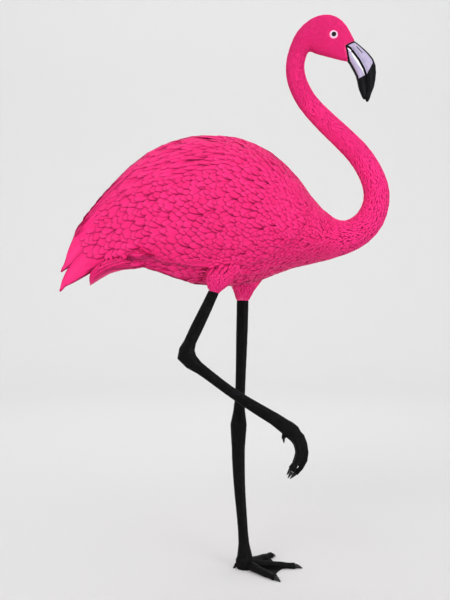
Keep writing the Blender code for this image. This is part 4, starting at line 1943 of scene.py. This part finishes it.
@dataclass
class Tail:
    """The short tail under the wings: a fan of quills above and the coverts below."""

    rings: tuple[tuple[float, float, float, float, float], ...] = (
        (-0.214, 0.702, -0.210, 0.668, 0.016),
        (-0.240, 0.700, -0.234, 0.659, 0.024),
        (-0.273, 0.692, -0.260, 0.6575, 0.032),
        (-0.310, 0.678, -0.295, 0.649, 0.034),
        (-0.331, 0.659, -0.325, 0.631, 0.026),
        (-0.3390, 0.627, -0.3420, 0.620, 0.010),
    )
    turns: tuple[float, ...] = (-78, -62, -46, -30, -15, 0, 15, 30, 46, 62, 78)
    under: tuple[float, ...] = (102, 120, 138, 156, 172, 188, 204, 222, 240, 258)
    quill: float = 0.022
    covert: float = 0.018
    coverts: Flat = (0.97, 0.72)
    depth: float = 0.004
    inset: float = 0.0006
    rounding: float = 0.05

    def make(self, bed: Bed, finish: Material) -> Object:
        """Builds the tail.

        Args:
            bed: What its feathers are laid with.
            finish: What they are dressed in.

        Returns:
            The tail.
        """
        rings = np.array(self.rings)
        steps = np.arange(len(rings))
        rows = [(turn, 1.0, self.quill) for turn in self.turns]
        rows += [(turn, end, self.covert) for end in self.coverts for turn in self.under]
        lines, ups = [], []
        for angle, end, _ in rows:
            across, along = math.sin(math.radians(angle)), math.cos(math.radians(angle))
            at = np.array(QUILL.places) * (end - self.rounding * abs(across)) * steps[-1]
            top_x, top_z, low_x, low_z, half = (np.interp(at, steps, c) for c in rings.T)
            middle = np.stack([(top_x + low_x) / 2, 0 * at, (top_z + low_z) / 2], axis=1)
            arm = np.stack([(top_x - low_x) / 2, 0 * at, (top_z - low_z) / 2], axis=1)
            side = np.stack([0 * at, half, 0 * at], axis=1)
            lines.append(middle + arm * along + side * across)
            length = np.linalg.norm(arm, axis=1, keepdims=True)
            ups.append(unit(arm / length**2 * along + side / half[:, None] ** 2 * across))
        middle = np.array(lines)
        ahead = unit(np.gradient(middle, axis=1))
        up = square_to(np.array(ups), ahead)
        wide, deep = np.array([row[2] for row in rows]), np.full(len(rows), self.depth)
        lines = (middle - up * self.inset, up, ahead)
        tail = Coat("tail_feathers", QUILL).build(bed, middle[:, 0], lines, wide, deep, finish)
        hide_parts("tail")
        return tail


# ---------------------------------------------------------------- eyes, bill and legs


@dataclass
class Eyes:
    """The two eyeballs, each with its clear front bulging a little."""

    size: EyeSize

    def make(self, finish: Material) -> list[Object]:
        """Builds both eyes.

        Args:
            finish: What they are dressed in.

        Returns:
            The eyes.
        """
        size = self.size
        made = []
        for side, node in ((1, "eye_left"), (-1, "eye_right")):
            deselect()
            bpy.ops.mesh.primitive_uv_sphere_add(segments=40, ring_count=24, radius=size.ball)
            ball = bpy.context.object
            ball.name = f"{node}_wet"
            points = corners(ball)
            radius = np.hypot(points[:, 0], points[:, 2])
            front = np.sign(points[:, 1]) == side
            points[:, 1] += side * front * size.bulge * smooth(radius, size.cornea, 0.0)
            move_corners(ball, points + (size.x, side * size.y, size.z))
            made.append(dressed(ball, finish, "eye", node))
        return made


@dataclass
class Bill:
    """The two halves of the bill, closed on a dark gape, with a slit nostril on each side."""

    cell: float = 0.0009
    gape: tuple[Flat, ...] = (
        *((0.2197, 1.1448), (0.2300, 1.1403), (0.2386, 1.1346), (0.2525, 1.1160)),
        *((0.2626, 1.0975), (0.2679, 1.0818), (0.2703, 1.0655), (0.2701, 1.0485)),
        *((0.2690, 1.0300),),
    )
    culmen: tuple[Flat, ...] = (
        *((0.2440, 1.1595), (0.2575, 1.149), (0.2730, 1.135)),
        *((0.2848, 1.1205), (0.2905, 1.103), (0.2898, 1.0785)),
    )
    keel: tuple[Flat, ...] = ((0.2270, 1.116), (0.2390, 1.096), (0.2470, 1.079), (0.2508, 1.060))
    parting: Flat = (0.475, 0.880)
    closing: float = 0.0022
    tip_closing: Flat = (1.046, 1.036)
    room: Flat = (0.0075, 0.0050)
    room_share: float = 0.55
    facing: float = 0.3
    swelling: float = 0.0015
    swollen: Flat = (1.046, 1.032)
    nostril: tuple[Flat, Flat] = ((0.2455, 1.1455), (0.2590, 1.1305))
    nostril_width: float = 0.0011
    nostril_depth: float = 0.0011
    nostril_rim: float = 0.00025
    nostril_taper: Flat = (0.45, 0.55)
    nostril_slit: Flat = (1.7, 0.6)
    nostril_lip: Flat = (2.1, 0.7)
    nostril_side: float = 0.004

    @staticmethod
    def _along(points: np.ndarray, line: Sequence[Flat]) -> tuple[np.ndarray, np.ndarray]:
        """How far points are from a line seen from the side, and how far along a stretch of it."""
        off, _, along = nearest_on(points[:, (0, 2)], np.array(line))
        return off, along

    def _half(self, half: Half) -> Object:
        """Builds one half.

        Args:
            half: Which half.

        Returns:
            The half, with its distances to the gape, the face and its ridge kept on it.
        """
        upper = half is Half.UPPER
        node, other = f"bill_{half.value}", "bill_lower" if upper else "bill_upper"
        base, ridge, keep = (BILL_TOP, self.culmen, 1) if upper else (BILL_BASE, self.keel, -1)
        corner = (BILL_CORNER[0], 0.0, BILL_CORNER[1])
        across = (-keep * self.parting[0], 0.0, -keep * self.parting[1])
        cuts = (Cut("head", corner, (-base[0], 0.0, -base[1])), Cut("head", corner, across))
        horn = soften(merged(f"{node}_horn", (node, "head"), cuts, self.cell), 4)
        points, normals = corners(horn), corner_normals(horn)
        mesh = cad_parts[other].data
        faces = [tuple(p.vertices) for p in mesh.polygons]
        tree = BVHTree.FromPolygons([tuple(v.co) for v in mesh.vertices], faces)
        found = [tree.find_nearest(p) for p in points.tolist()]
        away = unit(np.array([f[0] for f in found]) - points)
        room = np.array([f[3] for f in found])
        facing = dot(away, normals) > self.facing
        closing = self.closing * (1 + smooth(points[:, 2], *self.tip_closing))
        step = np.minimum(room * self.room_share, closing)
        step = np.where(facing, smooth(room, *self.room), 0.0) * step
        swell = np.where(facing, 0.0, smooth(points[:, 2], *self.swollen)) * self.swelling
        move_corners(horn, points + away * step[:, None] + normals * swell[:, None])
        soften(horn, 5)
        # Distance to the gape, for the painted shade along it and the painted highlight under it.
        add_number(horn, "gape", self._along(corners(horn), self.gape)[0])
        add_number(horn, "edge", ahead_of_face(points))
        add_number(horn, "ridge", self._along(points, ridge)[0])
        return dressed(horn, None, "bill", node)

    def _cut_nostrils(self, horn: Object) -> None:
        """Presses a long slit into each side of the upper half.

        Args:
            horn: The upper half.
        """
        points = corners(horn)
        off, along = self._along(points, self.nostril)
        least, more = self.nostril_taper
        wide = self.nostril_width * (least + more * np.sin(np.pi * along) ** 0.5)
        side = np.abs(points[:, 1]) > self.nostril_side
        slit = np.where(side, smooth(off, *(wide * size for size in self.nostril_slit)), 0.0)
        away, spread = (wide * size for size in self.nostril_lip)
        rim = np.where(side, np.exp(-(((off - away) / spread) ** 2)), 0.0)
        press = self.nostril_depth * slit - self.nostril_rim * rim
        move_corners(horn, points - corner_normals(horn) * press[:, None])
        # The slit's mask, which the finish paints as shade inside the opening.
        add_number(horn, "slit", slit)

    def make(self, finish: BillFinish) -> list[Object]:
        """Builds both halves.

        Args:
            finish: What they are dressed in.

        Returns:
            The halves.
        """
        horns = [self._half(half) for half in Half]
        self._cut_nostrils(horns[0])
        for half, horn in zip(Half, horns):
            horn.data.materials.append(finish.make(half))
        return horns


@dataclass
class Leg:
    """One bare leg: shank, tarsus and foot under one scaly skin."""

    name: str
    line: tuple[Place, ...]
    fronts: tuple[Place, ...]
    cell: float = 0.0012
    sole: float = 0.022

    def make(self, finish: Material) -> Object:
        """Builds the leg.

        Args:
            finish: What it is dressed in.

        Returns:
            The leg.
        """
        nodes = tuple(f"{part}_{self.name}" for part in ("shank", "tarsus", "foot"))
        leg = soften(merged(f"leg_{self.name}", nodes, (), self.cell), 2)
        points, normals = corners(leg), corner_normals(leg)
        line, fronts = np.array(self.line), unit(np.array(self.fronts, dtype=float))
        reach = reaches(line)
        _, i, t = nearest_on(points, line)
        down = reach[i] + t * (reach[i + 1] - reach[i])
        front = fronts[i] + (fronts[i + 1] - fronts[i]) * t[:, None]
        on_foot = (points[:, 2] < self.sole) & (down >= reach[-1] - 1e-4)
        past = reach[-1] + np.linalg.norm(points - line[-1], axis=1)
        add_number(leg, "down", np.where(on_foot, past, down))
        add_number(leg, "front", dot(unit(front), normals))
        return dressed(leg, finish, "leg_scales", *nodes)


LEFT_LEG = Leg(
    "left",
    (
        *((-0.002, 0.044, 0.600), (-0.0076, 0.035, 0.390), (-0.0114, 0.031, 0.312)),
        *((-0.0118, 0.026, 0.235), (-0.0090, 0.020, 0.169), (-0.0037, 0.013, 0.104)),
        *((-0.0008, 0.008, 0.062), (0.0018, 0.003, 0.022)),
    ),
    ((1, 0, 0),) * 6 + ((1, 0, 0.3), (0.3, 0, 1)),
)
RIGHT_LEG = Leg(
    "right",
    (
        *((-0.0640, -0.053, 0.613), (-0.1025, -0.055, 0.530), (-0.1235, -0.055, 0.4685)),
        *((-0.0269, -0.054, 0.393), (0.0314, -0.053, 0.356), (0.0830, -0.052, 0.3225)),
        *((0.1150, -0.052, 0.2900), (0.1200, -0.052, 0.2620), (0.1050, -0.052, 0.2220)),
    ),
    (
        *((0.9, 0, -0.3), (0.9, 0, -0.3), (0.9, 0, 0.4), (0.6, 0, 0.8), (0.6, 0, 0.8)),
        *((0.7, 0, 0.7), (0.9, 0, 0.4), (1, 0, 0), (0.9, 0, -0.4)),
    ),
)


def dress_claws(horn: Material) -> int:
    """Gives every claw its horn.

    Args:
        horn: What they are dressed in.

    Returns:
        How many there are.
    """
    claws = [node for name, node in sorted(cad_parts.items()) if name.startswith("claw")]
    for claw in claws:
        claw.data.materials.clear()
        claw.data.materials.append(horn)
        take(claw)
        bpy.ops.object.shade_smooth_by_angle(angle=math.radians(50))
    return len(claws)


# ---------------------------------------------------------------- studio


@dataclass(frozen=True)
class Lamp:
    """A square soft light that faces a point."""

    name: str
    place: Place
    aim: Place
    size: float
    power: float


@dataclass
class Studio:
    """A pale floor that curves up all round the bird, soft light, and the camera."""

    centre: float = 1.5
    wall: float = 6.2
    curve: float = 2.6
    height: float = 4.3
    bends: int = 12
    air: float = 0.92
    lamps: tuple[Lamp, ...] = (
        Lamp("key", (-2.2, -3.6, 3.2), (0.0, 0.0, 0.65), 2.6, 88.0),
        Lamp("fill", (2.6, -3.4, 1.0), (0.05, 0.0, 0.85), 2.0, 84.0),
        Lamp("back", (0.0, 1.6, 4.2), (0.0, 6.0, 1.4), 3.0, 70.0),
    )
    camera_place: Place = (-0.0418, -1.8, 0.5904)
    lens: float = 49.09
    sensor: float = 36.0

    def make_floor(self, finish: Material) -> Object:
        """Builds the floor and the wall round it as one turned sweep.

        Args:
            finish: What it is dressed in.

        Returns:
            The sweep.
        """
        deselect()
        bpy.ops.mesh.primitive_circle_add(vertices=96, radius=0.5, fill_type="NGON")
        sweep = bpy.context.object
        sweep.name = "studio_sweep"
        mesh = bmesh.new()
        mesh.from_mesh(sweep.data)
        flat = self.wall - self.curve
        rows = [(self.centre, 0.0), (flat, 0.0)]
        for k in range(1, self.bends + 1):
            a = k / self.bends * math.pi / 2
            rows.append((flat + math.sin(a) * self.curve, self.curve * (1 - math.cos(a))))
        rows.append((self.wall, self.height))
        edges = [e for e in mesh.edges if e.is_boundary]
        for radius, level in rows:
            made = bmesh.ops.extrude_edge_only(mesh, edges=edges)["geom"]
            for v in (g for g in made if isinstance(g, bmesh.types.BMVert)):
                out = Vector((v.co.x, v.co.y, 0.0)).normalized() * radius
                v.co = Vector((out.x, out.y, level))
            edges = [g for g in made if isinstance(g, bmesh.types.BMEdge)]
        bmesh.ops.recalc_face_normals(mesh, faces=mesh.faces)
        for face in mesh.faces:
            face.smooth = len(face.verts) == 4
        mesh.to_mesh(sweep.data)
        mesh.free()
        sweep.data.materials.append(finish)
        return sweep

    def make_light(self) -> None:
        """Lights the sweep and the bird softly from above and both sides."""
        scene = bpy.context.scene
        scene.view_settings.view_transform = "Standard"
        scene.world = bpy.data.worlds.new("studio_air")
        scene.world.use_nodes = True
        air = scene.world.node_tree.nodes["Background"].inputs
        air["Color"].default_value = (1.0, 1.0, 1.0, 1.0)
        air["Strength"].default_value = self.air
        for lamp in self.lamps:
            light = bpy.data.lights.new(lamp.name, "AREA")
            light.shape = "SQUARE"
            light.size = lamp.size
            light.energy = lamp.power
            obj = new_object(lamp.name, light)
            obj.location = lamp.place
            way = Vector(lamp.aim) - Vector(lamp.place)
            obj.rotation_euler = way.to_track_quat("-Z", "Y").to_euler()

    def make_camera(self) -> Object:
        """Adds the level camera at the bird's right side.

        Returns:
            The camera.
        """
        data = bpy.data.cameras.new("camera")
        data.lens = self.lens
        data.sensor_width = self.sensor
        camera = new_object("camera", data)
        camera.location = self.camera_place
        camera.rotation_euler = (math.pi / 2, 0.0, 0.0)
        bpy.context.scene.camera = camera
        return camera


def main() -> None:
    """Builds the bird and its studio, piece by piece."""
    logging.basicConfig(level=logging.INFO, format="%(name)s %(message)s")
    spine, eye = Spine(), EyeSize()
    flesh = Flesh(spine, eye)
    studio = Studio()
    studio.make_camera()
    studio.make_light()
    studio.make_floor(StageFinish().make())
    log.info("studio")
    outer = flesh.outer_form()
    form = Form(outer)
    skin = flesh.make_skin(SkinFinish())
    log.info("skin: %d faces", len(skin.data.polygons))
    plumage = Plumage(spine, form, eye, np.random.default_rng(SEED))
    plumage.make_short(SHORT_FEATHERS.make())
    plumage.make_body(FeatherFinish().make())
    plumage.make_long(LONG_FEATHERS.make())
    bpy.data.objects.remove(outer)
    Eyes(eye).make(EyeFinish().make(eye))
    for half in Bill().make(BillFinish()):
        log.info("%s: %d faces", half.name, len(half.data.polygons))
    scales = LegFinish().make()
    for leg in (LEFT_LEG, RIGHT_LEG):
        log.info("leg: %d faces", len(leg.make(scales).data.polygons))
    log.info("claws: %d", dress_claws(ClawFinish().make()))
    deselect()


if __name__ == "__main__":
    main()
